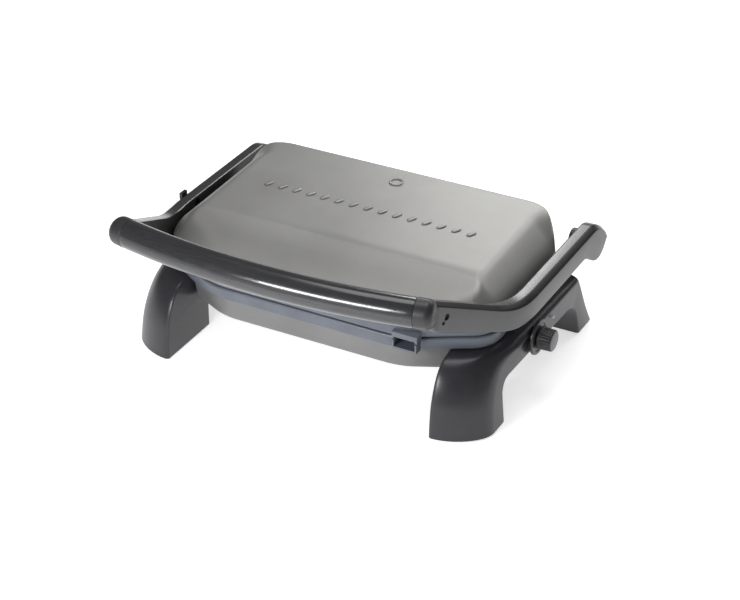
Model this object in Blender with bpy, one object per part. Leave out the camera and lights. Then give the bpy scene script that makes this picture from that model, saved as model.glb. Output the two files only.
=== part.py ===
"""Panini press, modelled closed, in metres.

+X is the right-hand side seen from the front, -Y is the front, where the handle is, and +Z is up.
The feet stand on z = 0.  The sizes below are written with x = 0 in the plane of symmetry, from which
only the knob, the drain spout, the gland and the lock slide depart.  The finished press is then moved
so that the middle of its bounding box stands over the origin.  Its bodies are the base, the arms with
the handle, the lid, the knob and the lock slide.
"""
import math

import bmesh
import bpy
import numpy as np
from mathutils import Vector

# ---------------------------------------------------------------- driving sizes, in metres
GAP = 0.0003                # between neighbours that do not move against each other
SEAM = 0.0012               # the shut line between lid and base
HALF_W = 0.1555             # half the body's width
FRONT_Y = -0.0805           # the body's front edge
BACK_Y = 0.1120             # the body's back edge
RIM_Z = 0.0650              # underside of the lower rim
RIM_H = 0.0111              # height of the lower rim
LID_RIM_H = 0.0109          # height of the lid's rim
LID_RISE = 0.0290           # height of the lid's cover above its rim

# body outline at the seam
CUT_X = HALF_W - 0.0635     # where the front edge starts to turn
CUT_Y = FRONT_Y + 0.0365    # where the clipped front corner meets the side
R_CUT = 0.0700              # the three corner radii, from the front round to the back
R_SIDE = 0.0300
R_BACK = 0.0400

# heights
FOOT_T = 0.0015             # rubber foot below each leg
TUB_Z = RIM_Z - 0.0250      # underside of the lower housing
SEAM_Z = RIM_Z + RIM_H      # top of the lower rim
LID_RIM_Z = SEAM_Z + SEAM
LID_SHELL_Z = LID_RIM_Z + LID_RIM_H + GAP
LID_TOP = LID_SHELL_Z + LID_RISE
CREASE_Y = FRONT_Y + 0.0595     # where the lid's top turns down to the front
FRONT_FALL = 0.43           # how steeply it then falls
BACK_RISE = 0.030           # how fast the top rises to the back
SHELL_T = 0.0012            # wall of the lid's cover
RIM_T = 0.0075              # width of both rims
TUB_T = 0.0014              # wall of the lower housing

# grill plates
PLATE_T = 0.0036
RIB_H = 0.0030
RIB_W = 0.0036
RIB_PITCH = 0.0125
COOK_GAP = 0.0090           # between the tips of the upper and the lower ribs

# side pods
POD_IN = HALF_W - 0.0305    # inner face
POD_OUT = HALF_W + 0.0145   # outer face
BEAM_Z = TUB_Z - 0.0015     # underside of the beam
POD_TOP = RIM_Z - 0.0004    # top of the beam, under the rim
POD_EDGE = POD_TOP - 0.0046     # top of the beam at its outer face
LEG_FRONT_IN = FRONT_Y - 0.0180     # front of the front leg at the inner face
LEG_FRONT_OUT = FRONT_Y + 0.0115    # the same at the outer face
LEG_BACK_IN = FRONT_Y + 0.0495      # back of the front leg at the inner face
LEG_BACK_OUT = FRONT_Y + 0.0340
LEG_DRAFT = 0.090           # how fast the front leg's outer face leans in, per height
REAR_FOOT_F = BACK_Y - 0.0050
REAR_FOOT_B = BACK_Y + 0.0240
POD_WALL = 0.0032

# main hinge and arms
HINGE_Y = BACK_Y + 0.0245
HINGE_Z = SEAM_Z + 0.0024
PIN_R = 0.0040
PIN_PLAY = 0.00008
EAR_R = PIN_R + 0.0045
ARM_GAP = HALF_W + 0.0045   # half the distance between the arms
EAR_IN = ARM_GAP - 0.0128
EAR_T = 0.0060
ARM_T = 0.0140              # thickness of an arm
ARM_TOP = SEAM_Z + 0.0249
ARM_H = 0.0220
ARM_SLOPE = 0.505           # rise of the front part per length
ARM_FLARE = 0.30            # how fast the front part closes in
BEND_Z_Y = FRONT_Y + 0.0495
BEND_X_Y = FRONT_Y + 0.0625
BEND_R = 0.0220
ARM_FRONT = FRONT_Y - 0.0435
BOSS_R = 0.0155

# handle
TUBE_R = 0.0123
TUBE_WALL = 0.0016
TUBE_HALF = ARM_GAP - 0.0295    # half the tube's length, up to the caps
CAP_LEN = 0.0150
TUBE_Z = ARM_TOP + 0.0400
TUBE_BOW = 0.0134           # how far its ends lie behind its middle
TUBE_Y = ARM_FRONT - 0.0237     # middle of the tube
SCREW_R = 0.0030

# floating lid
FLOAT_Y = 0.0120
FLOAT_Z = SEAM_Z + 0.0084
FLOAT_R = 0.0035
FLOAT_TRAVEL = 0.0100
LUG_FRONT = FLOAT_Y - 0.0120     # the lid's bracket, from front to back
LUG_BACK = FLOAT_Y + 0.0130
LUG_TOP = FLOAT_Z + FLOAT_R + 0.0035

# drain spout, raised motif, thermostat knob, lock slide, cable gland
SPOUT_X = CUT_X + 0.0035
SPOUT_W = 0.0190
SPOUT_H = 0.0062
SPOUT_OUT = 0.0040
MOTIF_COUNT = 15            # raised lozenges across the lid
MOTIF_PITCH = 0.0140
MOTIF_Y = 0.0330
KNOB_Y = 0.0125
KNOB_Z = BEAM_Z + 0.0120
KNOB_R = 0.0100
KNOB_LEN = 0.0135
BEZEL_R = KNOB_R + 0.0057
BEZEL_T = 0.0025
SHAFT_R = 0.0030
LOCK_Y = 0.0106
LOCK_TRAVEL = 0.0060
LOCK_DEEP = 0.0014          # how deep the slide sits in the arm
LOCK_T = 0.0028
LOCK_HALF = 0.0042          # half its length
LOCK_LOW = ARM_TOP - 0.0064
LOCK_HIGH = ARM_TOP + 0.0010
GLAND_X = 0.0600
GLAND_Z = RIM_Z - 0.0090
GLAND_BORE = 0.0030
ELEMENT_R = 0.0032

SEG = 48                    # facets of every turned piece that another turns on

# ---------------------------------------------------------------- scene and helpers
for old in list(bpy.data.objects):
    bpy.data.objects.remove(old, do_unlink=True)

PARTS = bpy.data.collections.new("panini_press")
CUTTERS = bpy.data.collections.new("panini_press_cutters")
bpy.context.scene.collection.children.link(PARTS)
bpy.context.scene.collection.children.link(CUTTERS)
CUTTERS.hide_render = True


def material(name, rgb, metal, rough):
    mat = bpy.data.materials.new(name)
    mat.use_nodes = True
    shader = mat.node_tree.nodes["Principled BSDF"]
    shader.inputs["Base Color"].default_value = (*rgb, 1.0)
    shader.inputs["Metallic"].default_value = metal
    shader.inputs["Roughness"].default_value = rough
    mat.diffuse_color = (*rgb, 1.0)
    return mat


def mesh_object(name, bm, origin):
    bmesh.ops.remove_doubles(bm, verts=bm.verts, dist=1e-7)
    bmesh.ops.recalc_face_normals(bm, faces=bm.faces)
    bmesh.ops.translate(bm, verts=bm.verts, vec=-Vector(origin))
    data = bpy.data.meshes.new(name)
    bm.to_mesh(data)
    bm.free()
    obj = bpy.data.objects.new(name, data)
    obj.location = origin
    return obj


def part(name, bm, look, origin=(0.0, 0.0, 0.0)):
    obj = mesh_object(name, bm, origin)
    obj.data.materials.append(material(name, *look))
    PARTS.objects.link(obj)
    return obj


def cutter(name, bm):
    obj = mesh_object(name, bm, (0.0, 0.0, 0.0))
    obj.hide_render = True
    obj.display_type = "WIRE"
    CUTTERS.objects.link(obj)
    return obj


def boolean(obj, tool, operation):
    mod = obj.modifiers.new(operation.lower() + "_" + tool.name, "BOOLEAN")
    mod.operation = operation
    mod.solver = "EXACT"
    mod.object = tool


def loft(rings, bm=None, loop=False):
    """Joins closed rings of equally many points.  Its ends are capped, or joined if it is a loop."""
    bm = bm or bmesh.new()
    rows = [[bm.verts.new(p) for p in ring] for ring in rings]
    count = len(rows[0])
    pairs = list(zip(rows[:-1], rows[1:]))
    if loop:
        pairs.append((rows[-1], rows[0]))
    for a, b in pairs:
        for i in range(count):
            j = (i + 1) % count
            bm.faces.new((a[i], a[j], b[j], b[i]))
    if not loop:
        bm.faces.new(rows[0][::-1])
        bm.faces.new(rows[-1])
    return bm


def box(x0, x1, y0, y1, z0, z1, bm=None):
    corners = [(x0, y0), (x1, y0), (x1, y1), (x0, y1)]
    return loft([[(x, y, z) for x, y in corners] for z in (z0, z1)], bm)


def prism_x(outline, x0, x1, bm=None):
    """An outline in the YZ plane, pushed along X."""
    return loft([[(x, y, z) for y, z in outline] for x in (x0, x1)], bm)


def circle(y, z, r, seg=SEG, start=0.0):
    turn = [start + 2 * math.pi * i / seg for i in range(seg)]
    return [(y + r * math.cos(t), z + r * math.sin(t)) for t in turn]


def turned_x(y, z, profile, seg=SEG, bm=None):
    """A solid turned about a line along X, from (x, radius) pairs."""
    return loft([[(x, *p) for p in circle(y, z, r, seg)] for x, r in profile], bm)


def ramp(u, r):
    """0 before u = 0 and u after it, rounded over 2 r."""
    if u <= -r:
        return 0.0
    if u >= r:
        return u
    return (u + r) ** 2 / (4 * r)


def filleted(points, radii, steps):
    """A polygon's right half with each corner rounded: a list of (x, y)."""
    out = []
    for i in range(1, len(points) - 1):
        a, b, c = (Vector(points[k]) for k in (i - 1, i, i + 1))
        u = (a - b).normalized()
        v = (c - b).normalized()
        half = u.angle(v) / 2
        cut = min(radii[i - 1] / math.tan(half), 0.48 * min((a - b).length, (c - b).length))
        radius = cut * math.tan(half)
        centre = b + (u + v).normalized() * (radius / math.sin(half))
        first = b + u * cut - centre
        last = b + v * cut - centre
        sweep = first.angle_signed(last)
        for k in range(steps[i - 1] + 1):
            t = -sweep * k / steps[i - 1]
            cos_t = math.cos(t)
            sin_t = math.sin(t)
            out.append((centre.x + first.x * cos_t - first.y * sin_t,
                        centre.y + first.x * sin_t + first.y * cos_t))
    return out


def outline(side, front, back, cut_x, cut_y, radii=(R_CUT, R_SIDE, R_BACK), steps=(4, 5, 6), stops=()):
    """The body's outline seen from above, from the front middle round by the right.

    stops are places along the straight side that get a point of their own.
    """
    corner = [(0.0, front), (cut_x, front), (side, cut_y), (side, back), (0.0, back)]
    half = filleted(corner, radii, steps)
    turn = steps[0] + steps[1] + 2
    first = half[turn - 1][1]
    last = half[turn][1]
    between = []
    for i, y in enumerate(stops):
        lowest = first + 0.0008 * (i + 1)
        highest = last - 0.0008 * (len(stops) - i)
        between.append((side, min(max(y, lowest), highest)))
    half = half[:turn] + between + half[turn:]
    return half + [(-x, y) for x, y in reversed(half)]


def body_outline(inset, stops=()):
    """The seam's outline, moved in by inset."""
    radii = [max(r - inset, 0.004) for r in (R_CUT, R_SIDE, R_BACK)]
    slope = (CUT_Y - FRONT_Y) / (HALF_W - CUT_X)
    longer = math.sqrt(1 + slope * slope)
    return outline(HALF_W - inset, FRONT_Y + inset, BACK_Y - inset, CUT_X - inset * (longer - 1) / slope,
                   CUT_Y + inset * (longer - slope), radii, stops=stops)


def level(points, z):
    return [(x, y, z) for x, y in points]


def rim_loop(profile):
    """A closed section of (inset, z) carried round the body's outline."""
    return loft([level(body_outline(d), z) for d, z in profile], loop=True)


# ---------------------------------------------------------------- lid
LOWER_TIP = SEAM_Z + SEAM / 2 - COOK_GAP / 2
UPPER_TIP = LOWER_TIP + COOK_GAP
LOOK_LID = ((0.36, 0.355, 0.345), 0.35, 0.45)
LOOK_RIM = ((0.23, 0.25, 0.28), 0.2, 0.4)
LOOK_ARM = ((0.17, 0.17, 0.175), 0.1, 0.45)
LOOK_POD = ((0.06, 0.06, 0.07), 0.0, 0.45)
LOOK_DARK = ((0.03, 0.03, 0.032), 0.0, 0.5)
LOOK_STEEL = ((0.5, 0.5, 0.5), 1.0, 0.3)
LOOK_PLATE = ((0.02, 0.02, 0.02), 0.1, 0.6)


SIDE_PROFILE = ((0.0, 0.0), (0.0005, 0.09), (0.0017, 0.20), (0.0038, 0.33), (0.0068, 0.47), (0.0105, 0.60),
                (0.0145, 0.725), (0.0185, 0.84), (0.0215, 0.915), (0.0243, 0.965), (0.0275, 0.995), (0.0380, 1.0))
REAR_PROFILE = ((0.0, 0.0), (0.0003, 0.15), (0.0007, 0.34), (0.0012, 0.53), (0.0019, 0.70), (0.0029, 0.82),
                (0.0044, 0.92), (0.0064, 0.97), (0.0090, 0.992), (0.0120, 1.0), (0.0300, 1.0), (0.0380, 1.0))
REAR_BLEND = 0.024          # length over which the side wall turns into the rear wall
TOP_STOPS = (CREASE_Y - 0.004, CREASE_Y, CREASE_Y + 0.004, CREASE_Y + 0.010, 0.040)


def along(profile, d):
    """Height share of a profile at the distance d from the body's outline."""
    return float(np.interp(d, [p[0] for p in profile], [p[1] for p in profile]))


def lid_rings(inset):
    """Rings of points over the lid's cover, moved in by inset.

    The wall rises from the outline, more steeply at the back, as far as the top, which rises a little to
    the back and falls to the front before the crease.
    """
    rings = []
    for d, _ in SIDE_PROFILE:
        ring = []
        for x, y in body_outline(d + inset, TOP_STOPS):
            back = min(max((y - (BACK_Y - REAR_BLEND - 0.004)) / REAR_BLEND, 0.0), 1.0)
            share = along(SIDE_PROFILE, d) * (1 - back) + along(REAR_PROFILE, d) * back
            wall = LID_SHELL_Z + (LID_RISE + BACK_RISE * max(y - CREASE_Y, 0.0)) * share
            top = LID_TOP - FRONT_FALL * ramp(CREASE_Y - y, 0.006) + BACK_RISE * (y - CREASE_Y)
            soft = 0.0016
            mix = max(soft - abs(wall - top), 0.0) / soft
            z = min(wall, top) - mix * mix * soft / 4
            ring.append((x, y, max(z - inset, LID_SHELL_Z)))
        rings.append(ring)
    rings[0] = [(x, y, LID_SHELL_Z) for x, y, _ in rings[0]]
    return rings


def cap_strips(bm, row):
    """Closes a ring that is the same on the left and on the right with strips across."""
    last = len(row) - 1
    for i in range(len(row) // 2 - 1):
        bm.faces.new((row[i], row[i + 1], row[last - i - 1], row[last - i]))


def domed(rings):
    """A closed solid from rings of points, with both ends closed by strips."""
    bm = bmesh.new()
    rows = [[bm.verts.new(p) for p in ring] for ring in rings]
    count = len(rows[0])
    for a, b in zip(rows[:-1], rows[1:]):
        for i in range(count):
            j = (i + 1) % count
            bm.faces.new((a[i], a[j], b[j], b[i]))
    cap_strips(bm, rows[0])
    cap_strips(bm, rows[-1])
    return bm


def make_lid(pivot):
    outer = lid_rings(0.0)
    inner = lid_rings(SHELL_T)
    shell = part("lid_shell", domed(inner[::-1] + outer), LOOK_LID, pivot)
    motif = bmesh.new()
    for i in range(MOTIF_COUNT):
        x = MOTIF_PITCH * (i - (MOTIF_COUNT - 1) / 2)
        ring = [(x - 0.0030, MOTIF_Y - 0.0015), (x + 0.0010, MOTIF_Y - 0.0042), (x + 0.0030, MOTIF_Y + 0.0015),
                (x - 0.0010, MOTIF_Y + 0.0042)]
        z = LID_TOP + BACK_RISE * (MOTIF_Y - CREASE_Y)
        loft([level(ring, z - 0.0006), level(ring, z + 0.0006)], motif)
    boolean(shell, cutter("motif_tool", motif), "UNION")

    z0 = LID_RIM_Z
    z1 = LID_RIM_Z + LID_RIM_H
    profile = [(0.0014, z0), (0.0003, z0 + 0.0010), (0.0, z0 + 0.0025), (0.0, z1 - 0.0022),
               (0.0004, z1 - 0.0009), (0.0014, z1), (RIM_T, z1), (RIM_T, z0)]
    rim = part("lid_rim", rim_loop(profile), LOOK_RIM, pivot)
    lip = box(SPOUT_X - SPOUT_W / 2 - 0.002, SPOUT_X + SPOUT_W / 2 + 0.002,
              FRONT_Y - SPOUT_OUT, FRONT_Y + RIM_T * 0.6, z0, z0 + 0.0062)
    boolean(rim, cutter("lid_lip_tool", lip), "UNION")
    notch = box(SPOUT_X - SPOUT_W / 2, SPOUT_X + SPOUT_W / 2,
                FRONT_Y - 0.02, FRONT_Y + RIM_T + 0.02, z0 - 0.005, z0 + 0.0016)
    boolean(rim, cutter("lid_notch_tool", notch), "DIFFERENCE")


def make_plate(name, tip, up, pivot):
    """A ribbed plate: up is +1 for the lower one, whose ribs point up, and -1 for the upper one."""
    flat = tip - up * RIB_H
    back = flat - up * PLATE_T
    slab = [level(body_outline(RIM_T + GAP), z) for z in sorted((flat, back))]
    plate = part(name, loft(slab), LOOK_PLATE, pivot)
    ribs = bmesh.new()
    reach = HALF_W - RIM_T - 0.022
    count = int(reach / RIB_PITCH)
    for i in range(-count, count + 1):
        x = i * RIB_PITCH
        front = FRONT_Y + RIM_T + 0.010 + 0.45 * max(abs(x) - 0.075, 0.0)
        rear = BACK_Y - RIM_T - 0.010
        rings = []
        for z, w in ((flat - up * 0.001, RIB_W / 2), (flat, RIB_W / 2), (tip, RIB_W / 3)):
            rings.append([(x - w, front, z), (x + w, front, z), (x + w, rear, z), (x - w, rear, z)])
        loft(rings if up > 0 else rings[::-1], ribs)
    boolean(plate, cutter(name + "_ribs_tool", ribs), "UNION")
    return plate


def make_element(name, z, pivot):
    """A bent tubular heater lying against the back of a plate."""
    half = HALF_W - 0.0530
    front = FRONT_Y + 0.030
    back = BACK_Y - 0.024
    bend = 0.018
    path = [(-0.035, back), (-half + bend, back)]
    for cx, cy, a0, a1 in ((-half + bend, back - bend, 90, 180), (-half + bend, front + bend, 180, 270),
                           (half - bend, front + bend, 270, 360), (half - bend, back - bend, 0, 90)):
        for k in range(5):
            t = math.radians(a0 + (a1 - a0) * k / 4)
            path.append((cx + bend * math.cos(t), cy + bend * math.sin(t)))
    path.append((0.035, back))
    rings = []
    for i, (x, y) in enumerate(path):
        before = Vector(path[max(i - 1, 0)])
        after = Vector(path[min(i + 1, len(path) - 1)])
        along = (after - before).normalized()
        side = Vector((-along.y, along.x))
        ring = []
        for k in range(10):
            t = 2 * math.pi * k / 10
            ring.append((x + side.x * ELEMENT_R * math.cos(t), y + side.y * ELEMENT_R * math.cos(t),
                         z + ELEMENT_R * math.sin(t)))
        rings.append(ring)
    bm = loft(rings)
    bmesh.ops.remove_doubles(bm, verts=bm.verts, dist=1e-6)
    return part(name, bm, LOOK_STEEL, pivot)


# ---------------------------------------------------------------- base
def make_base_rim():
    z0 = RIM_Z
    z1 = SEAM_Z
    profile = [(RIM_T, z0), (0.0016, z0), (0.0004, z0 + 0.0009), (0.0, z0 + 0.0022), (0.0, z1 - 0.0025),
               (0.0003, z1 - 0.0010), (0.0014, z1), (RIM_T, z1)]
    rim = part("base_rim", rim_loop(profile), LOOK_RIM)
    lip = box(SPOUT_X - SPOUT_W / 2 - 0.002, SPOUT_X + SPOUT_W / 2 + 0.002,
              FRONT_Y - SPOUT_OUT, FRONT_Y + RIM_T * 0.6, z0 + 0.0012, z1)
    boolean(rim, cutter("base_lip_tool", lip), "UNION")
    notch = box(SPOUT_X - SPOUT_W / 2, SPOUT_X + SPOUT_W / 2,
                FRONT_Y - 0.02, FRONT_Y + RIM_T + 0.02, z1 - SPOUT_H, z1 + 0.005)
    boolean(rim, cutter("base_notch_tool", notch), "DIFFERENCE")


def tub_ring(inset, z):
    side = POD_IN - GAP - inset * 0.35
    return level(outline(side, FRONT_Y + 0.004 + inset, BACK_Y - 0.006 - inset * 0.6,
                         CUT_X - 0.006 - inset * 0.3, CUT_Y - 0.012 + inset * 0.7,
                         (0.060, 0.006, 0.012)), z)


def make_tub():
    top = RIM_Z - GAP
    outer = [(0.0, top), (0.0018, top - 0.007), (0.0044, TUB_Z + 0.0065), (0.0070, TUB_Z + 0.0020), (0.0115, TUB_Z)]
    inner = [(TUB_T, top), (TUB_T + 0.0018, top - 0.007), (TUB_T + 0.0052, TUB_Z + 0.0055),
             (TUB_T + 0.0105, TUB_Z + TUB_T)]
    rings = [tub_ring(d, z) for d, z in reversed(outer)] + [tub_ring(d, z) for d, z in inner]
    tub = part("base_tub", loft(rings), ((0.24, 0.235, 0.23), 0.2, 0.5))
    hole = bmesh.new()
    ring0 = [(GLAND_X + x, BACK_Y - 0.030, z) for x, z in circle(0.0, GLAND_Z, GLAND_BORE + 0.0020 + GAP, 24)]
    ring1 = [(x, BACK_Y + 0.010, z) for x, _, z in ring0]
    loft([ring0, ring1], hole)
    boolean(tub, cutter("gland_hole_tool", hole), "DIFFERENCE")


def make_reflector():
    z = TUB_Z + TUB_T + GAP
    rings = [tub_ring(TUB_T + 0.0125, z), tub_ring(TUB_T + 0.0125, z + 0.0008)]
    part("reflector", loft(rings), LOOK_STEEL)


def make_gland():
    """The cable's rubber gland in the back wall, empty because no cord is modelled."""
    back = BACK_Y - 0.006
    r0 = GLAND_BORE + 0.0020
    bore = GLAND_BORE
    profile = [(back - 0.010, r0 + 0.0012), (back - 0.0054, r0 + 0.0012), (back - 0.0054, r0), (back + GAP, r0),
               (back + GAP, r0 + 0.003), (back + 0.0035, r0 + 0.002), (back + 0.013, bore + 0.0016),
               (back + 0.013, bore), (back - 0.010, bore)]
    rings = [[(GLAND_X + a, y, b) for a, b in circle(0.0, GLAND_Z, r, 24)] for y, r in profile]
    part("cable_gland", loft(rings, loop=True), LOOK_DARK)


def pod_front(x):
    """Front of the front leg, seen from above: nearly flat inside, turned well back at the outer edge."""
    start = POD_IN + 0.0030
    reach = LEG_FRONT_OUT - LEG_FRONT_IN
    if x <= start:
        return LEG_FRONT_IN + 0.0010 * (start - x) / 0.0030
    share = (x - start) / (POD_OUT - start)
    return LEG_FRONT_OUT - reach * max(1.0 - share ** 1.7, 0.0) ** 0.625


def pod_back(x):
    """Back of the front leg, seen from above."""
    return LEG_BACK_IN + (LEG_BACK_OUT - LEG_BACK_IN) * (x - POD_IN) / (POD_OUT - POD_IN)


def leg_lean(x, y, z):
    """How far a point of the front leg leans inward."""
    share = (x - POD_IN) / (POD_OUT - POD_IN)
    near = min(max((-0.010 - y) / 0.040, 0.0), 1.0)
    return LEG_DRAFT * max(z, 0.0) * share * near * near * (3 - 2 * near)


def pod_section(x, trim=0.0):
    """The pod's outline in the plane at x: front leg, beam and rear leg.  trim moves it in all round."""
    share = (x - POD_IN) / (POD_OUT - POD_IN)
    front = pod_front(x) + trim
    lean = 1.0 + 0.4 * share
    top = POD_TOP - (POD_TOP - POD_EDGE) * max(share - 0.62, 0.0) ** 2 / 0.38 ** 2 - trim
    tall = top - FOOT_T
    back = pod_back(x) - trim
    beam = BEAM_Z + trim
    points = [(front, FOOT_T)]
    for dy, up in ((0.0007, 0.214), (0.0022, 0.420), (0.0048, 0.578), (0.0085, 0.721), (0.0130, 0.840),
                   (0.0185, 0.927), (0.0250, 0.978), (0.0340, 1.0)):
        points.append((front + dy * lean, FOOT_T + tall * up))
    points.append((REAR_FOOT_F - 0.0120, top))
    for dy, up in ((-0.0340, 0.983), (-0.0298, 0.888), (-0.0245, 0.721), (-0.0130, 0.357)):
        points.append((REAR_FOOT_B + dy - trim, FOOT_T + tall * up))
    points.append((REAR_FOOT_B - trim, FOOT_T))
    points.append((REAR_FOOT_F + trim, FOOT_T))
    for dy, up in ((-0.0015, 0.208), (-0.0060, 0.520), (-0.0110, 0.753), (-0.0170, 0.909), (-0.0270, 1.0)):
        points.append((REAR_FOOT_F + dy + (trim if up < 1.0 else 0.0), beam * up))
    points.append((back + 0.0125, beam))
    for dy, dz in ((0.0080, -0.0012), (0.0038, -0.0045), (0.0010, -0.0095), (0.0002, -0.0150)):
        points.append((back + dy, beam + dz))
    points.append((back, FOOT_T))
    return points


def make_pod(side, name):
    xs = [(0.0, 0.0012), (0.013, 0.0004), (0.067, 0.0), (0.222, 0.0), (0.400, 0.0), (0.578, 0.0), (0.733, 0.0),
          (0.844, 0.0), (0.922, 0.0), (0.967, 0.0004), (0.991, 0.0012), (1.0, 0.0022)]
    width = POD_OUT - POD_IN
    rings = []
    for share, trim in xs:
        x = POD_IN + share * width
        rings.append([(side * (x - leg_lean(x, y, z)), y, z) for y, z in pod_section(x, trim)])
    pod = part(name, loft(rings), LOOK_POD)

    # the hinge ear: an upright that leans back, and the round head that carries the pin
    ear = bmesh.new()
    lean = [(HINGE_Y - 0.0445, BEAM_Z + 0.0115), (HINGE_Y - 0.0165, HINGE_Z - 0.0125),
            (HINGE_Y - 0.0040, HINGE_Z - 0.0020), (HINGE_Y + 0.0040, HINGE_Z - 0.0030),
            (HINGE_Y - 0.0030, HINGE_Z - 0.0170), (HINGE_Y - 0.0225, BEAM_Z - 0.0035),
            (HINGE_Y - 0.0365, BEAM_Z - 0.0085)]
    prism_x(lean, side * EAR_IN, side * (EAR_IN + EAR_T), ear)
    boolean(pod, cutter(name + "_ear_tool", ear), "UNION")
    head = turned_x(HINGE_Y, HINGE_Z, [(side * (EAR_IN - 0.0004), EAR_R), (side * (ARM_GAP - 0.0006), EAR_R)])
    boolean(pod, cutter(name + "_head_tool", head), "UNION")
    bore = turned_x(HINGE_Y, HINGE_Z, [(side * (EAR_IN - 0.01), PIN_R + PIN_PLAY),
                                       (side * (ARM_GAP + 0.01), PIN_R + PIN_PLAY)])
    boolean(pod, cutter(name + "_bore_tool", bore), "DIFFERENCE")

    # the beam is hollow, and open to the housing
    hollow = [(LEG_BACK_OUT + 0.022, BEAM_Z + POD_WALL), (REAR_FOOT_F - 0.032, BEAM_Z + POD_WALL),
              (REAR_FOOT_F - 0.022, POD_EDGE - 0.008), (REAR_FOOT_F - 0.027, POD_EDGE - 0.0020),
              (LEG_BACK_OUT + 0.010, POD_EDGE - 0.0020), (LEG_BACK_OUT + 0.006, POD_EDGE - 0.008)]
    inside = prism_x(hollow, side * (POD_IN - 0.01), side * (POD_OUT - POD_WALL))
    boolean(pod, cutter(name + "_hollow_tool", inside), "DIFFERENCE")
    if side > 0:
        hole = turned_x(KNOB_Y, KNOB_Z, [(POD_OUT - 0.01, SHAFT_R + 0.0015), (POD_OUT + 0.01, SHAFT_R + 0.0015)], 24)
        boolean(pod, cutter("shaft_hole_tool", hole), "DIFFERENCE")


def make_feet():
    edge = 0.0030
    for side, tag in ((1, "right"), (-1, "left")):
        for place in ("front", "rear"):
            ring = []
            for k in range(7):
                x = POD_IN + edge + (POD_OUT - POD_IN - 2 * edge) * k / 6
                front = REAR_FOOT_F + edge
                if place == "front":
                    front = min(pod_front(x + 0.002) + 0.0045, pod_back(x) - edge - 0.006)
                ring.append((side * x, front))
            for x in (POD_OUT - edge, POD_IN + edge):
                ring.append((side * x, pod_back(x) - edge if place == "front" else REAR_FOOT_B - edge))
            part(f"foot_{place}_{tag}", loft([level(ring, 0.0), level(ring, FOOT_T - 0.0001)]), LOOK_DARK)


def make_hinge_pin(side, tag):
    ends = [(side * (EAR_IN + 0.0005), PIN_R), (side * (ARM_GAP + 0.0090), PIN_R)]
    part("hinge_pin_" + tag, turned_x(HINGE_Y, HINGE_Z, ends), LOOK_STEEL)


def make_thermostat():
    x0 = POD_OUT - POD_WALL - GAP
    body = turned_x(KNOB_Y, KNOB_Z, [(x0 - 0.018, 0.0075), (x0 - 0.0035, 0.0075), (x0 - 0.0034, 0.0045),
                                     (x0, 0.0045)], 24)
    thermostat = part("thermostat_body", body, LOOK_STEEL)
    room = turned_x(KNOB_Y, KNOB_Z, [(x0 - 0.010, SHAFT_R + PIN_PLAY), (x0 + 0.01, SHAFT_R + PIN_PLAY)])
    boolean(thermostat, cutter("thermostat_room_tool", room), "DIFFERENCE")


def make_bezel():
    x = POD_OUT + GAP
    profile = [(x, SHAFT_R + 0.0015), (x, BEZEL_R - 0.0004), (x + 0.0006, BEZEL_R), (x + BEZEL_T - 0.0010, BEZEL_R),
               (x + BEZEL_T, BEZEL_R - 0.0010), (x + BEZEL_T, BEZEL_R - 0.0028), (x + BEZEL_T - 0.0008, BEZEL_R - 0.0034),
               (x + BEZEL_T - 0.0008, SHAFT_R + 0.0015)]
    rings = [[(a, *p) for p in circle(KNOB_Y, KNOB_Z, r, 40)] for a, r in profile]
    part("knob_bezel", loft(rings, loop=True), LOOK_DARK)


def make_knob():
    axis = (POD_OUT, KNOB_Y, KNOB_Z)
    x = POD_OUT + GAP + BEZEL_T
    seg = 40
    rings = []
    for dx, r in ((0.0003, KNOB_R - 0.0006), (0.0008, KNOB_R), (0.0030, KNOB_R), (0.0036, KNOB_R - 0.0004),
                  (KNOB_LEN - 0.0014, KNOB_R - 0.0006), (KNOB_LEN - 0.0004, KNOB_R - 0.0012), (KNOB_LEN, KNOB_R - 0.0022)):
        ring = []
        for k in range(seg):
            t = 2 * math.pi * k / seg
            grip = 0.0007 if k % 4 == 0 and 0.003 < dx < KNOB_LEN - 0.0006 else 0.0
            ring.append((x + dx, KNOB_Y + (r - grip) * math.cos(t), KNOB_Z + (r - grip) * math.sin(t)))
        rings.append(ring)
    knob = part("knob", loft(rings), LOOK_DARK, axis)
    seat = turned_x(KNOB_Y, KNOB_Z, [(x - 0.01, SHAFT_R + PIN_PLAY), (x + KNOB_LEN * 0.6, SHAFT_R + PIN_PLAY)])
    boolean(knob, cutter("knob_seat_tool", seat), "DIFFERENCE")
    x0 = POD_OUT - POD_WALL - GAP - 0.009
    part("knob_shaft", turned_x(KNOB_Y, KNOB_Z, [(x0, SHAFT_R), (x + KNOB_LEN * 0.6 - GAP, SHAFT_R)]), LOOK_STEEL, axis)


def make_mark():
    part("pointer_dot", turned_x(KNOB_Y + 0.0345, KNOB_Z + 0.0005, [(POD_OUT + 0.00005, 0.0016), (POD_OUT + 0.0005, 0.0012)], 16),
         ((0.3, 0.3, 0.3), 0.0, 0.5))


# ---------------------------------------------------------------- arms and handle
def arm_outer(y):
    return ARM_GAP + ARM_T - ARM_FLARE * ramp(BEND_X_Y - y, BEND_R)


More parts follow.
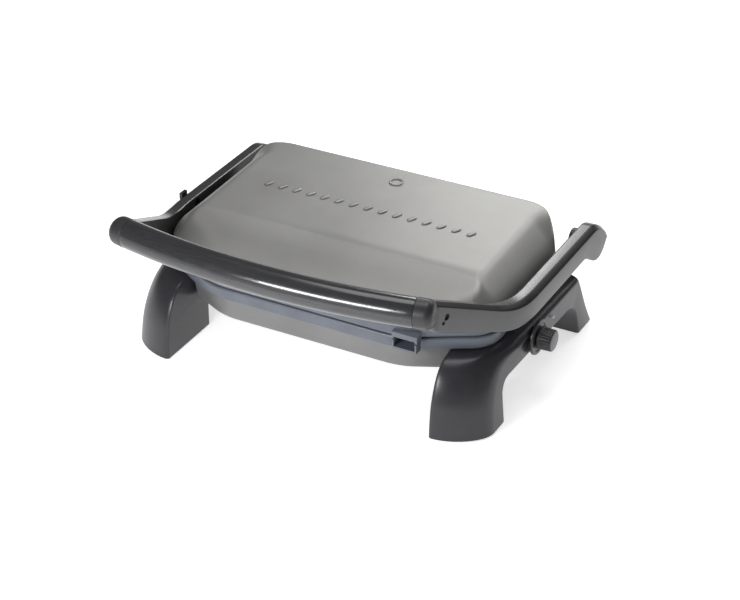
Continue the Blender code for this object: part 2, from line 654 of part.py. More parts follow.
def arm_top(y):
    """Top of the arm's side view: level, rising to the handle in front, rounded down to the hinge behind."""
    top = ARM_TOP + ARM_SLOPE * ramp(BEND_Z_Y - y, BEND_R)
    slope_start = HINGE_Y - 0.0130
    if y > slope_start:
        turn = HINGE_Y + BOSS_R * 0.70
        if y < turn:
            u = (y - slope_start) / (turn - slope_start)
            low = HINGE_Z + BOSS_R * 0.714
            top = ARM_TOP + (low - ARM_TOP) * (0.45 * u * u + 0.55 * u ** 1.3)
        else:
            reach = max(1.0 - ((y - HINGE_Y) / BOSS_R) ** 2, 0.0)
            top = HINGE_Z + BOSS_R * math.sqrt(reach)
    return top


def arm_bottom(y):
    height = ARM_H + 0.0054 * min(max((-0.010 - y) / 0.107, 0.0), 1.0)
    low = ARM_TOP + ARM_SLOPE * ramp(BEND_Z_Y - y, BEND_R) - height
    reach = max(1.0 - ((y - HINGE_Y) / BOSS_R) ** 2, 0.0)
    start = HINGE_Y - 0.0360
    if y > start:
        u = min((y - start) / (HINGE_Y - start), 1.0)
        smooth = u * u * (3 - 2 * u)
        deep = HINGE_Z - BOSS_R
        low = low + (deep - low) * smooth
        if y > HINGE_Y:
            low = HINGE_Z - BOSS_R * math.sqrt(reach)
    return low


def arm_section(y):
    xo = arm_outer(y)
    xi = xo - ARM_T
    top = arm_top(y)
    low = arm_bottom(y)
    k = min(1.0, (top - low) / 0.014)
    rear = min(max((y - (HINGE_Y - 0.012)) / 0.02, 0.0), 1.0)
    low_r = (0.0020 + 0.0030 * rear) * k
    return [(xi + 0.0012 * k, low), (xi, low + 0.0012 * k), (xi, top - 0.0008 * k), (xi + 0.0008 * k, top),
            (xo - 0.0048 * k, top), (xo - 0.0012 * k, top - 0.0026 * k), (xo, top - 0.0042 * k),
            (xo, low + low_r), (xo - low_r * 0.3, low + low_r * 0.3), (xo - low_r, low)]


def make_arm(side, tag, pivot):
    ys = list(np.linspace(ARM_FRONT, BEND_Z_Y - BEND_R, 6)) + list(np.linspace(BEND_Z_Y - BEND_R, BEND_X_Y + BEND_R, 10))[1:]
    ys += [0.03, 0.07, HINGE_Y - 0.040] + list(np.linspace(HINGE_Y - 0.036, HINGE_Y, 8))
    ys += [HINGE_Y + BOSS_R * f for f in (0.25, 0.5, 0.7, 0.84, 0.93, 0.98, 0.998)]
    rings = [[(side * x, y, z) for x, z in arm_section(y)] for y in ys]
    arm = part("arm_" + tag, loft(rings), LOOK_ARM, pivot)

    bore = turned_x(HINGE_Y, HINGE_Z, [(side * (ARM_GAP - 0.01), PIN_R + PIN_PLAY),
                                       (side * (ARM_GAP + 0.0095), PIN_R + PIN_PLAY)])
    boolean(arm, cutter("arm_bore_tool_" + tag, bore), "DIFFERENCE")

    # upright slot for the lid's pin, cut from the inner face
    r = FLOAT_R + 0.0003
    slot = [(FLOAT_Y + a, FLOAT_Z + b) for a, b in circle(0.0, 0.0, r, 24) if b <= 1e-9]
    slot += [(FLOAT_Y + a, FLOAT_Z + FLOAT_TRAVEL + b) for a, b in circle(0.0, 0.0, r, 24) if b >= -1e-9]
    slot = sorted(slot, key=lambda p: math.atan2(p[1] - FLOAT_Z - FLOAT_TRAVEL / 2, p[0] - FLOAT_Y))
    room = prism_x(slot, side * (ARM_GAP - 0.01), side * (ARM_GAP + 0.0078))
    boolean(arm, cutter("arm_slot_tool_" + tag, room), "DIFFERENCE")

    # saddle for the handle's end, and the recess of its screw
    saddle = loft(tube_rings(TUBE_R + GAP, np.linspace(0.110, TUBE_HALF + CAP_LEN + 0.006, 6), side, 32))
    boolean(arm, cutter("arm_saddle_tool_" + tag, saddle), "DIFFERENCE")
    y, z = screw_place()
    x = arm_outer(y)
    recess = turned_x(y, z, [(side * (x - 0.0030), SCREW_R + 0.0006), (side * (x + 0.01), SCREW_R + 0.0006)], 20)
    boolean(arm, cutter("arm_recess_tool_" + tag, recess), "DIFFERENCE")
    if side < 0:
        rail = box(-(ARM_GAP + ARM_T + 0.01), -(ARM_GAP + ARM_T - LOCK_DEEP - 0.0002),
                   LOCK_Y - LOCK_HALF - GAP - LOCK_TRAVEL, LOCK_Y + LOCK_HALF + GAP, LOCK_LOW - GAP, ARM_TOP + 0.01)
        boolean(arm, cutter("lock_rail_tool", rail), "DIFFERENCE")


def screw_place():
    y = ARM_FRONT + 0.0125
    return y, (arm_top(y) + arm_bottom(y)) / 2


def make_screw(side, tag, pivot):
    y, z = screw_place()
    x = arm_outer(y) - 0.0030 + GAP
    screw = turned_x(y, z, [(side * x, SCREW_R), (side * (x + 0.0008), SCREW_R), (side * (x + 0.0014), SCREW_R * 0.7)], 20)
    obj = part("handle_screw_" + tag, screw, LOOK_STEEL, pivot)
    cross = bmesh.new()
    box(side * (x + 0.0007), side * (x + 0.004), y - 0.0016, y + 0.0016, z - 0.0004, z + 0.0004, cross)
    boolean(obj, cutter("screw_slot_tool_" + tag, cross), "DIFFERENCE")


BOW_R = (TUBE_HALF ** 2 + TUBE_BOW ** 2) / (2 * TUBE_BOW)


def tube_centre(x):
    return TUBE_Y + BOW_R - math.sqrt(BOW_R ** 2 - x * x)


def tube_rings(radius, xs, side=1, seg=28):
    rings = []
    for i, x in enumerate(xs):
        r = radius[i] if hasattr(radius, "__len__") else radius
        lean = x / BOW_R
        rings.append([(side * (x - r * math.cos(t) * lean), tube_centre(x) + r * math.cos(t) * math.sqrt(1 - lean * lean),
                       TUBE_Z + r * math.sin(t)) for t in (2 * math.pi * k / seg for k in range(seg))])
    return rings


def make_handle(pivot):
    xs = list(np.linspace(-TUBE_HALF, TUBE_HALF, 19))
    wall = tube_rings(TUBE_R, xs) + tube_rings(TUBE_R - TUBE_WALL, xs)[::-1]
    part("handle_tube", loft(wall, loop=True), ((0.05, 0.05, 0.055), 0.9, 0.2), pivot)
    for side, tag in ((1, "right"), (-1, "left")):
        shape = ((0.0003, 1.0), (0.0085, 1.0), (0.0115, 0.96), (0.0135, 0.87), (0.0147, 0.72), (0.0152, 0.5))
        xs = [TUBE_HALF + dx * CAP_LEN / 0.0152 for dx, _ in shape]
        radii = [TUBE_R * r for _, r in shape]
        part("handle_cap_" + tag, loft(tube_rings(radii, xs, side)), ((0.08, 0.08, 0.085), 0.0, 0.45), pivot)


def make_lock():
    origin = (-(ARM_GAP + ARM_T), LOCK_Y, (LOCK_LOW + LOCK_HIGH) / 2)
    x0 = -(ARM_GAP + ARM_T - LOCK_DEEP)
    bm = box(x0, x0 - LOCK_T, LOCK_Y - LOCK_HALF, LOCK_Y + LOCK_HALF, LOCK_LOW, LOCK_HIGH)
    part("lock_slide", bm, LOOK_DARK, origin)


def make_lug(side, tag, pivot):
    """Side bracket of the lid with the pin that rides in the arm's slot."""
    low = LID_RIM_Z + 0.0005
    plan = [(side * (HALF_W - 0.014), LUG_FRONT, 0), (side * (ARM_GAP - 0.0012), LUG_FRONT, 0),
            (side * (ARM_GAP - 0.0012), LUG_BACK, 0), (side * (HALF_W - 0.014), LUG_BACK, 0)]
    rings = [[(x, y, z) for x, y, _ in plan] for z in (low, LUG_TOP)]
    lug = part("lid_lug_" + tag, loft(rings), LOOK_DARK, pivot)
    pin = turned_x(FLOAT_Y, FLOAT_Z, [(side * (ARM_GAP - 0.003), FLOAT_R), (side * (ARM_GAP + 0.0070), FLOAT_R)], 32)
    boolean(lug, cutter("lug_pin_tool_" + tag, pin), "UNION")
    room = lid_rings(-GAP)
    low_ring = [(x, y, LID_RIM_Z - 0.01) for x, y, _ in room[0]]
    keep_out = domed([low_ring] + room)
    boolean(lug, cutter("lug_room_tool_" + tag, keep_out), "DIFFERENCE")


def main():
    hinge = (0.0, HINGE_Y, HINGE_Z)
    pivot = (0.0, FLOAT_Y, FLOAT_Z)
    make_lid(pivot)
    make_plate("upper_plate", UPPER_TIP, -1, pivot)
    make_plate("lower_plate", LOWER_TIP, 1, (0.0, 0.0, 0.0))
    reach = RIB_H + PLATE_T + GAP + ELEMENT_R
    make_element("upper_element", UPPER_TIP + reach, pivot)
    make_element("lower_element", LOWER_TIP - reach, (0.0, 0.0, 0.0))
    make_base_rim()
    make_tub()
    make_reflector()
    make_gland()
    make_pod(1, "pod_right")
    make_pod(-1, "pod_left")
    make_feet()
    make_thermostat()
    make_bezel()
    make_knob()
    make_mark()
    make_handle(hinge)
    make_lock()
    for side, tag in ((1, "right"), (-1, "left")):
        make_hinge_pin(side, tag)
        make_arm(side, tag, hinge)
        make_screw(side, tag, hinge)
        make_lug(side, tag, pivot)
    to_origin()


def to_origin():
    """Moves the press so that the middle of its bounding box stands over the origin."""
    right = POD_OUT + GAP + BEZEL_T + KNOB_LEN
    left = ARM_GAP + ARM_T - LOCK_DEEP + LOCK_T
    front = TUBE_Y - TUBE_R
    back = HINGE_Y + BOSS_R
    move = Vector(((left - right) / 2, -(front + back) / 2, 0.0))
    for obj in list(PARTS.objects) + list(CUTTERS.objects):
        obj.location += move


main()
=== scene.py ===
import math

import bmesh
import bpy
import numpy as np
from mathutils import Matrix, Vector


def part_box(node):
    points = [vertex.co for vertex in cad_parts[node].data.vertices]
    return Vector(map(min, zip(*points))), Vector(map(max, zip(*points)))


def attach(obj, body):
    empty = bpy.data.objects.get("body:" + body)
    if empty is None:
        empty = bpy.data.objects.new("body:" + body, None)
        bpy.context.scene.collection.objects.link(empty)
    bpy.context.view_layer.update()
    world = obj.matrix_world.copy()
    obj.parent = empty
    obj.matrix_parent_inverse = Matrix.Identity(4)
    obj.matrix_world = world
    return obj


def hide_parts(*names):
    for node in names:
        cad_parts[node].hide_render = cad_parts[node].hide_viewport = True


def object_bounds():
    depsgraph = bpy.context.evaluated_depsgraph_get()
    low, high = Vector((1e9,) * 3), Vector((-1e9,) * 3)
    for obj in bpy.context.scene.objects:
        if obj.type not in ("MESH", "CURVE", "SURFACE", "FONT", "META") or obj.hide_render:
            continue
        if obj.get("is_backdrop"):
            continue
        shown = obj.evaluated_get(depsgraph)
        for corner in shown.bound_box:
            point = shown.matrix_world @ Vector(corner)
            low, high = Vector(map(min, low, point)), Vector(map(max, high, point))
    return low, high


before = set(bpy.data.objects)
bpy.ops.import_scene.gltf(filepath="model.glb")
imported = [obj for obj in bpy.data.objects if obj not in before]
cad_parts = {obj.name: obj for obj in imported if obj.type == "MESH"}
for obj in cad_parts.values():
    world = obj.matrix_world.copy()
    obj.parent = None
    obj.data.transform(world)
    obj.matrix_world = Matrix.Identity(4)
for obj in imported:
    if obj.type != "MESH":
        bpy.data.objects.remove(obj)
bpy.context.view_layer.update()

# ---------------------------------------------------------------- lower housing
# The tub under the plates: one pressed steel pan, sprayed in a satin warm grey.  Its rim is turned
# in under the plastic frame above it, and the side pods are screwed to its ends.
rim_low, rim_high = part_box("lid_rim")
BACK_Y = 0.1120
MIDDLE = Vector(((rim_low.x + rim_high.x) / 2, rim_high.y - BACK_Y, 0.0))   # the press's own middle plane
HALF_W = 0.1555
FRONT_Y = -0.0805
CUT_X = 0.0920
CUT_Y = -0.0440
CORNERS = (0.0700, 0.0300, 0.0400)          # radii from the front corner round to the back one
POD_IN = 0.1250
RIM_Z = 0.0650
GAP = 0.0003


def filleted(points, radii, steps):
    """Right half of a polygon with its inner corners rounded."""
    out = []
    for i in range(1, len(points) - 1):
        a, b, c = (Vector(points[k]) for k in (i - 1, i, i + 1))
        u = (a - b).normalized()
        v = (c - b).normalized()
        half = u.angle(v) / 2
        cut = min(radii[i - 1] / math.tan(half), 0.48 * min((a - b).length, (c - b).length))
        radius = cut * math.tan(half)
        centre = b + (u + v).normalized() * (radius / math.sin(half))
        first = b + u * cut - centre
        last = b + v * cut - centre
        sweep = first.angle_signed(last)
        for k in range(steps[i - 1] + 1):
            t = -sweep * k / steps[i - 1]
            out.append((centre.x + first.x * math.cos(t) - first.y * math.sin(t),
                        centre.y + first.x * math.sin(t) + first.y * math.cos(t)))
    return out


def outline(side, front, back, cut_x, cut_y, radii=CORNERS, steps=(16, 14, 14), stops=()):
    """Closed outline seen from above, with extra points along the straight sides at stops."""
    half = filleted([(0.0, front), (cut_x, front), (side, cut_y), (side, back), (0.0, back)], radii, steps)
    turn = steps[0] + steps[1] + 2
    first = half[turn - 1][1]
    last = half[turn][1]
    between = []
    for i, y in enumerate(stops):
        between.append((side, min(max(y, first + 0.0005 * (i + 1)), last - 0.0005 * (len(stops) - i))))
    half = half[:turn] + between + half[turn:]
    return half + [(-x, y) for x, y in reversed(half)]


def body_outline(inset, stops=(), steps=(16, 14, 14)):
    slope = (CUT_Y - FRONT_Y) / (HALF_W - CUT_X)
    longer = math.sqrt(1 + slope * slope)
    radii = [max(r - inset, 0.004) for r in CORNERS]
    return outline(HALF_W - inset, FRONT_Y + inset, BACK_Y - inset, CUT_X - inset * (longer - 1) / slope,
                   CUT_Y + inset * (longer - slope), radii, steps, stops)


def level(points, z):
    return [(x, y, z) for x, y in points]


def skin(name, points, faces, sharp=34.0):
    """A mesh from points measured from the middle plane, smooth but for edges sharper than sharp degrees."""
    bm = bmesh.new()
    corners = [bm.verts.new(Vector(p) + MIDDLE) for p in points]
    for face in faces:
        bm.faces.new([corners[i] for i in face])
    bmesh.ops.remove_doubles(bm, verts=bm.verts, dist=2e-6)
    bmesh.ops.recalc_face_normals(bm, faces=bm.faces)
    mesh = bpy.data.meshes.new(name)
    bm.to_mesh(mesh)
    bm.free()
    mesh.shade_smooth()
    mesh.set_sharp_from_angle(angle=math.radians(sharp))
    obj = bpy.data.objects.new(name, mesh)
    bpy.context.scene.collection.objects.link(obj)
    return obj


def lofted(name, rings, ends="cap", sharp=34.0):
    """Joins rings of equally many points.  ends: cap, strips across for a symmetric ring, or loop."""
    count = len(rings[0])
    points = [p for ring in rings for p in ring]
    faces = []
    rows = len(rings)
    for r in range(rows if ends == "loop" else rows - 1):
        a = r * count
        b = (r + 1) % rows * count
        for i in range(count):
            j = (i + 1) % count
            faces.append((a + i, a + j, b + j, b + i))
    for row in ((0, rows - 1) if ends != "loop" else ()):
        first = row * count
        if ends == "cap":
            faces.append(tuple(range(first, first + count)))
        else:
            for i in range(count // 2 - 1):
                faces.append((first + i, first + i + 1, first + count - 2 - i, first + count - 1 - i))
    return skin(name, points, faces, sharp)


def paint(code):
    """sRGB hex to the linear colour that the shaders take."""
    out = []
    for k in (1, 3, 5):
        c = int(code[k:k + 2], 16) / 255
        out.append(c / 12.92 if c <= 0.04045 else ((c + 0.055) / 1.055) ** 2.4)
    return (*out, 1.0)


def add_node(tree, kind, settings=(), links=()):
    """A node with its settings, by property or socket, and with links into its sockets."""
    made = tree.nodes.new(kind)
    for key, value in dict(settings).items():
        if isinstance(key, int) or key in made.inputs:
            made.inputs[key].default_value = value
        else:
            setattr(made, key, value)
    for key, socket in dict(links).items():
        tree.links.new(socket, made.inputs[key])
    return made


def new_material(name, **fixed):
    """A Principled material with its fixed values, and its tree, object coordinates and shader."""
    mat = bpy.data.materials.new(name)
    mat.use_nodes = True
    tree = mat.node_tree
    shader = tree.nodes["Principled BSDF"]
    for key, value in fixed.items():
        shader.inputs[key.replace("_", " ")].default_value = value
    where = add_node(tree, "ShaderNodeTexCoord").outputs["Object"]
    return mat, tree, where, shader


def sprayed_steel(name, light, dark, metallic, rough, flake_mm=0.5, bump=0.05, cloud_mm=60):
    """Sprayed metallic paint on pressed steel.  It gives the eye a satin sheen with a fine sparkle of flakes,
    a faint cloud across the panel, and orange peel in the highlights."""
    mat, tree, where, shader = new_material(name, Metallic=metallic)
    flakes = add_node(tree, "ShaderNodeTexNoise", {"Scale": 1000 / flake_mm, "Detail": 2.0},
                      {"Vector": where})
    cloud = add_node(tree, "ShaderNodeTexNoise", {"Scale": 1000 / cloud_mm, "Detail": 3.0}, {"Vector": where})
    mix = add_node(tree, "ShaderNodeMath", {"operation": "MULTIPLY_ADD", 1: 0.35}, {0: flakes.outputs["Fac"]})
    tree.links.new(cloud.outputs["Fac"], mix.inputs[2])
    ramp = add_node(tree, "ShaderNodeValToRGB", (), {"Fac": mix.outputs[0]})
    ramp.color_ramp.elements[0].position = 0.38
    ramp.color_ramp.elements[0].color = paint(dark)
    ramp.color_ramp.elements[1].position = 0.98
    ramp.color_ramp.elements[1].color = paint(light)
    tree.links.new(ramp.outputs["Color"], shader.inputs["Base Color"])
    gloss = add_node(tree, "ShaderNodeMapRange", {"To Min": rough - 0.05, "To Max": rough + 0.06},
                     {"Value": cloud.outputs["Fac"]})
    tree.links.new(gloss.outputs["Result"], shader.inputs["Roughness"])
    peel = add_node(tree, "ShaderNodeTexNoise", {"Scale": 1000 / 0.9, "Detail": 2.0}, {"Vector": where})
    relief = add_node(tree, "ShaderNodeBump", {"Strength": bump, "Distance": 0.0002},
                      {"Height": peel.outputs["Fac"]})
    tree.links.new(relief.outputs["Normal"], shader.inputs["Normal"])
    return mat


def tub_ring(inset, z):
    """Outline of the tub at one height, moved in more at the front than at the ends."""
    return level(outline(POD_IN - GAP - inset * 0.35, FRONT_Y + 0.004 + inset, BACK_Y - 0.006 - inset * 0.6,
                         CUT_X - 0.006 - inset * 0.3, CUT_Y - 0.012 + inset * 0.7, (0.060, 0.006, 0.012)), z)


TUB_Z = 0.0400
TUB_T = 0.0013
DRAW_IN = 0.0044                            # how far the wall leans in before the bottom corner
CORNER_W = 0.0071
CORNER_H = 0.0065
top = RIM_Z - GAP
wall = [(0.0, top), (0.0018, top - 0.007), (DRAW_IN, TUB_Z + CORNER_H)]
wall += [(DRAW_IN + CORNER_W * (1 - math.cos(t)), TUB_Z + CORNER_H * (1 - math.sin(t)))
         for t in (math.radians(a) for a in range(15, 91, 15))]
inner_wall = [(d + TUB_T, max(z, TUB_Z + 0.0014)) for d, z in wall]
rings = [tub_ring(d, z) for d, z in reversed(inner_wall)]
rings = [tub_ring(d, z) for d, z in reversed(wall)] + rings[::-1]
tub = lofted("lower_housing", rings, "strips")
tub.data.materials.append(sprayed_steel("sprayed steel, warm grey", "#7c7b7b", "#6a6969", 0.30, 0.45))
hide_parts("base_tub")
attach(tub, "base")

# ---------------------------------------------------------------- lower frame with the drain spout
# A moulded ABS frame in a bluish grey, clipped over the edge of the tub.  The spout at its front right
# lets the grease run out of the lower plate into a tray.
SEAM_Z = 0.0761
RIM_T = 0.0075
SPOUT_X = 0.0955
SPOUT_W = 0.0190
SPOUT_OUT = 0.0040


def carve(obj, tool, operation="DIFFERENCE", sharp=34.0):
    """Cuts or joins a tool with an exact Boolean, and keeps the result as the object's own mesh."""
    mod = obj.modifiers.new("cut", "BOOLEAN")
    mod.operation = operation
    mod.solver = "EXACT"
    mod.object = tool
    bpy.context.view_layer.update()
    made = bpy.data.meshes.new_from_object(obj.evaluated_get(bpy.context.evaluated_depsgraph_get()))
    obj.modifiers.clear()
    obj.data = made
    made.shade_smooth()
    made.set_sharp_from_angle(angle=math.radians(sharp))
    bpy.data.objects.remove(tool)
    return obj


def block(low, high, soft=0.0):
    """A box with its four upright edges rounded."""
    (x0, y0, z0), (x1, y1, z1) = low, high
    if soft:
        ring = []
        for cx, cy, a0 in ((x1 - soft, y0 + soft, -90), (x1 - soft, y1 - soft, 0),
                           (x0 + soft, y1 - soft, 90), (x0 + soft, y0 + soft, 180)):
            for k in range(5):
                t = math.radians(a0 + 22.5 * k)
                ring.append((cx + soft * math.cos(t), cy + soft * math.sin(t)))
    else:
        ring = [(x0, y0), (x1, y0), (x1, y1), (x0, y1)]
    return lofted("tool", [level(ring, z0), level(ring, z1)])


def moulded_plastic(name, code, rough, grain_mm=0.8, bump=0.10, vary=0.12, specular=0.5):
    """Injection-moulded plastic.  It gives the eye an even colour with faint mottling, and a fine eroded
    grain that scatters the light.  The real grain is about 0.1 mm; it is drawn coarser so that it shows."""
    mat, tree, where, shader = new_material(name, Specular_IOR_Level=specular)
    shade = paint(code)
    mottle = add_node(tree, "ShaderNodeTexNoise", {"Scale": 1000 / 25, "Detail": 5.0}, {"Vector": where})
    ramp = add_node(tree, "ShaderNodeValToRGB", (), {"Fac": mottle.outputs["Fac"]})
    ramp.color_ramp.elements[0].position = 0.3
    ramp.color_ramp.elements[0].color = (*[c * (1 - vary) for c in shade[:3]], 1.0)
    ramp.color_ramp.elements[1].position = 0.7
    ramp.color_ramp.elements[1].color = (*[min(c * (1 + vary), 1.0) for c in shade[:3]], 1.0)
    tree.links.new(ramp.outputs["Color"], shader.inputs["Base Color"])
    grain = add_node(tree, "ShaderNodeTexNoise", {"Scale": 1000 / grain_mm, "Detail": 3.0, "Roughness": 0.6},
                     {"Vector": where})
    gloss = add_node(tree, "ShaderNodeMapRange", {"To Min": rough - 0.07, "To Max": rough + 0.07},
                     {"Value": mottle.outputs["Fac"]})
    tree.links.new(gloss.outputs["Result"], shader.inputs["Roughness"])
    relief = add_node(tree, "ShaderNodeBump", {"Strength": bump, "Distance": 0.0002},
                      {"Height": grain.outputs["Fac"]})
    tree.links.new(relief.outputs["Normal"], shader.inputs["Normal"])
    return mat


def rim_loop(name, profile):
    """A closed frame that follows the body's outline, from (inset, height) pairs round its section."""
    return lofted(name, [level(body_outline(d), z) for d, z in profile], "loop")


z0 = RIM_Z
z1 = SEAM_Z
lower_rim = rim_loop("lower_frame", [
    (RIM_T, z0), (0.0018, z0), (0.0010, z0 + 0.0003), (0.0004, z0 + 0.0009), (0.0001, z0 + 0.0016),
    (0.0, z0 + 0.0024), (0.0, z1 - 0.0024), (0.0001, z1 - 0.0015), (0.0004, z1 - 0.0007),
    (0.0009, z1 - 0.0002), (0.0015, z1), (RIM_T, z1)])
LIP_T = 0.0016
lip = block((SPOUT_X - SPOUT_W / 2 - LIP_T, FRONT_Y - SPOUT_OUT, z0 + 0.0030),
            (SPOUT_X + SPOUT_W / 2 + LIP_T, FRONT_Y + RIM_T * 0.6, z1), 0.0006)
carve(lower_rim, lip, "UNION")
carve(lower_rim, block((SPOUT_X - SPOUT_W / 2, FRONT_Y - 0.02, z1 - 0.0062),
                       (SPOUT_X + SPOUT_W / 2, FRONT_Y + RIM_T + 0.02, z1 + 0.005)))
rim_plastic = moulded_plastic("moulded ABS, blue-grey", "#5a5f68", 0.36, bump=0.06)
lower_rim.data.materials.append(rim_plastic)
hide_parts("base_rim")
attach(lower_rim, "base")

# ---------------------------------------------------------------- lower grill plate, heater and reflector
# The plate is cast aluminium with a black non-stick coating over its ribs.  A sheathed rod heater lies
# against its back, above a bright sheet that throws the heat up.
COOK_GAP = 0.0090
RIB_H = 0.0030
RIB_W = 0.0036
RIB_PITCH = 0.0125
PLATE_T = 0.0036
SEAM = 0.0012
LOWER_TIP = SEAM_Z + SEAM / 2 - COOK_GAP / 2
UPPER_TIP = LOWER_TIP + COOK_GAP


def joined(name, parts, sharp=34.0):
    """Several closed meshes as one object."""
    bm = bmesh.new()
    for obj in parts:
        bm.from_mesh(obj.data)
        bpy.data.objects.remove(obj)
    mesh = bpy.data.meshes.new(name)
    bm.to_mesh(mesh)
    bm.free()
    mesh.shade_smooth()
    mesh.set_sharp_from_angle(angle=math.radians(sharp))
    made = bpy.data.objects.new(name, mesh)
    bpy.context.scene.collection.objects.link(made)
    return made


def grill_plate(name, tip, up):
    """A slab with a soft edge, and its ribs."""
    flat = tip - up * RIB_H
    back = flat - up * PLATE_T
    slab = [(RIM_T + 0.0003, back), (RIM_T + 0.0003, flat - up * 0.0006), (RIM_T + 0.0009, flat)]
    pieces = [lofted("slab", [level(body_outline(d), z) for d, z in slab], "strips")]
    dam = 0.022
    count = int((HALF_W - RIM_T - dam) / RIB_PITCH)
    for i in range(-count, count + 1):
        x = i * RIB_PITCH
        front = FRONT_Y + RIM_T + 0.010 + 0.45 * max(abs(x) - 0.075, 0.0)
        rear = BACK_Y - RIM_T - 0.010
        rings = []
        for share, w in ((-0.2, 1.0), (0.0, 1.0), (0.45, 0.86), (0.8, 0.66), (0.95, 0.45), (1.0, 0.2)):
            z = flat + up * RIB_H * share
            half = RIB_W / 2 * w
            draw = RIB_W / 2 * (1 - w)
            near = front + draw
            far = rear - draw
            ring = [(x - half, near + half), (x - half * 0.7, near + half * 0.3), (x, near),
                    (x + half * 0.7, near + half * 0.3), (x + half, near + half),
                    (x + half, far - half), (x + half * 0.7, far - half * 0.3), (x, far),
                    (x - half * 0.7, far - half * 0.3), (x - half, far - half)]
            rings.append(level(ring, z))
        pieces.append(lofted("rib", rings, "cap", 50))
    return joined(name, pieces, 50)


def nonstick(name):
    """PTFE non-stick baked on cast aluminium.  It gives the eye a near-black satin, pebbled by the
    grit-blasted casting under it."""
    mat, tree, where, shader = new_material(name, Metallic=0.1, Roughness=0.42)
    specks = add_node(tree, "ShaderNodeTexVoronoi", {"Scale": 1000 / 1.4}, {"Vector": where})
    ramp = add_node(tree, "ShaderNodeValToRGB", (), {"Fac": specks.outputs["Distance"]})
    ramp.color_ramp.elements[0].color = paint("#3a3a3b")
    ramp.color_ramp.elements[1].position = 0.25
    ramp.color_ramp.elements[1].color = paint("#1b1b1c")
    tree.links.new(ramp.outputs["Color"], shader.inputs["Base Color"])
    pebble = add_node(tree, "ShaderNodeTexNoise", {"Scale": 1000 / 0.9, "Detail": 3.0}, {"Vector": where})
    relief = add_node(tree, "ShaderNodeBump", {"Strength": 0.25, "Distance": 0.0003},
                      {"Height": pebble.outputs["Fac"]})
    tree.links.new(relief.outputs["Normal"], shader.inputs["Normal"])
    return mat


plate_coat = nonstick("PTFE non-stick on cast aluminium")
lower_plate = grill_plate("lower_grill_plate", LOWER_TIP, 1)
lower_plate.data.materials.append(plate_coat)
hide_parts("lower_plate")
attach(lower_plate, "base")


def turned_metal(name, code, rough, streak_mm=0.6):
    """Bare metal with fine turning or drawing lines.  It gives the eye a bright surface, with narrow changes
    of gloss across the lines."""
    mat, tree, where, shader = new_material(name, Metallic=1.0)
    lines = add_node(tree, "ShaderNodeMapping", {"Scale": (1.0, 0.06, 1.0)}, {"Vector": where})
    grain = add_node(tree, "ShaderNodeTexNoise", {"Scale": 1000 / streak_mm, "Detail": 3.0},
                     {"Vector": lines.outputs["Vector"]})
    ramp = add_node(tree, "ShaderNodeValToRGB", (), {"Fac": grain.outputs["Fac"]})
    shade = paint(code)
    ramp.color_ramp.elements[0].position = 0.3
    ramp.color_ramp.elements[0].color = (*[c * 0.8 for c in shade[:3]], 1.0)
    ramp.color_ramp.elements[1].position = 0.75
    ramp.color_ramp.elements[1].color = shade
    tree.links.new(ramp.outputs["Color"], shader.inputs["Base Color"])
    gloss = add_node(tree, "ShaderNodeMapRange", {"To Min": rough - 0.08, "To Max": rough + 0.10},
                     {"Value": grain.outputs["Fac"]})
    tree.links.new(gloss.outputs["Result"], shader.inputs["Roughness"])
    relief = add_node(tree, "ShaderNodeBump", {"Strength": 0.08, "Distance": 0.0001},
                      {"Height": grain.outputs["Fac"]})
    tree.links.new(relief.outputs["Normal"], shader.inputs["Normal"])
    return mat


def dress(node, mat):
    """Gives a CAD node its finish."""
    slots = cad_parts[node].data.materials
    slots.clear()
    slots.append(mat)


heater_steel = turned_metal("sheathed heater, oxidised steel", "#6b6358", 0.45, 1.2)
dress("lower_element", heater_steel)
dress("reflector", turned_metal("aluminised sheet, rolled", "#b9bbbd", 0.25, 1.5))

# ---------------------------------------------------------------- cable gland
# A moulded rubber sleeve, pushed through the back wall of the tub; the lead itself isn't modelled.
rubber = moulded_plastic("rubber, matt black", "#202021", 0.75, 1.0, 0.18, specular=0.3)
dress("cable_gland", rubber)

# ---------------------------------------------------------------- side pods with legs
# Each pod is one moulded ABS shell: the front leg, the beam along the side, the rear leg and the ear that
# carries the hinge pin.  A fine grain hides the moulding marks.  Screws from below hold it to the tub.
POD_OUT = 0.1700
BEAM_Z = 0.0385
POD_TOP = 0.0646
POD_EDGE = 0.0600
FOOT_T = 0.0015
LEG_FRONT_IN = -0.0985
LEG_FRONT_OUT = -0.0690
LEG_BACK_IN = -0.0310
LEG_BACK_OUT = -0.0465
LEG_DRAFT = 0.090
REAR_FOOT_F = 0.1070
REAR_FOOT_B = 0.1360
HINGE_Y = 0.1365
HINGE_Z = 0.0785
EAR_IN = 0.1472
EAR_T = 0.0060
EAR_R = 0.0085
ARM_GAP = 0.1600


def flowing(points, per=6):
    """A smooth open line through the points."""
    pts = [Vector(p) for p in points]
    pts = [2 * pts[0] - pts[1]] + pts + [2 * pts[-1] - pts[-2]]
    out = []
    for i in range(1, len(pts) - 2):
        a, b, c, d = pts[i - 1:i + 3]
        for k in range(per):
            t = k / per
            out.append(0.5 * (2 * b + (c - a) * t + (2 * a - 5 * b + 4 * c - d) * t * t
                              + (3 * b - a - 3 * c + d) * t ** 3))
    out.append(pts[-2])
    return [tuple(p) for p in out]


def pod_front(x):
    """Where the front leg begins at a distance from the middle: rounded off towards its outer side."""
    flat = 0.0030
    start = POD_IN + flat
    if x <= start:
        return LEG_FRONT_IN + 0.0010 * (start - x) / flat
    share = (x - start) / (POD_OUT - start)
    return LEG_FRONT_OUT - (LEG_FRONT_OUT - LEG_FRONT_IN) * max(1.0 - share ** 1.7, 0.0) ** 0.625


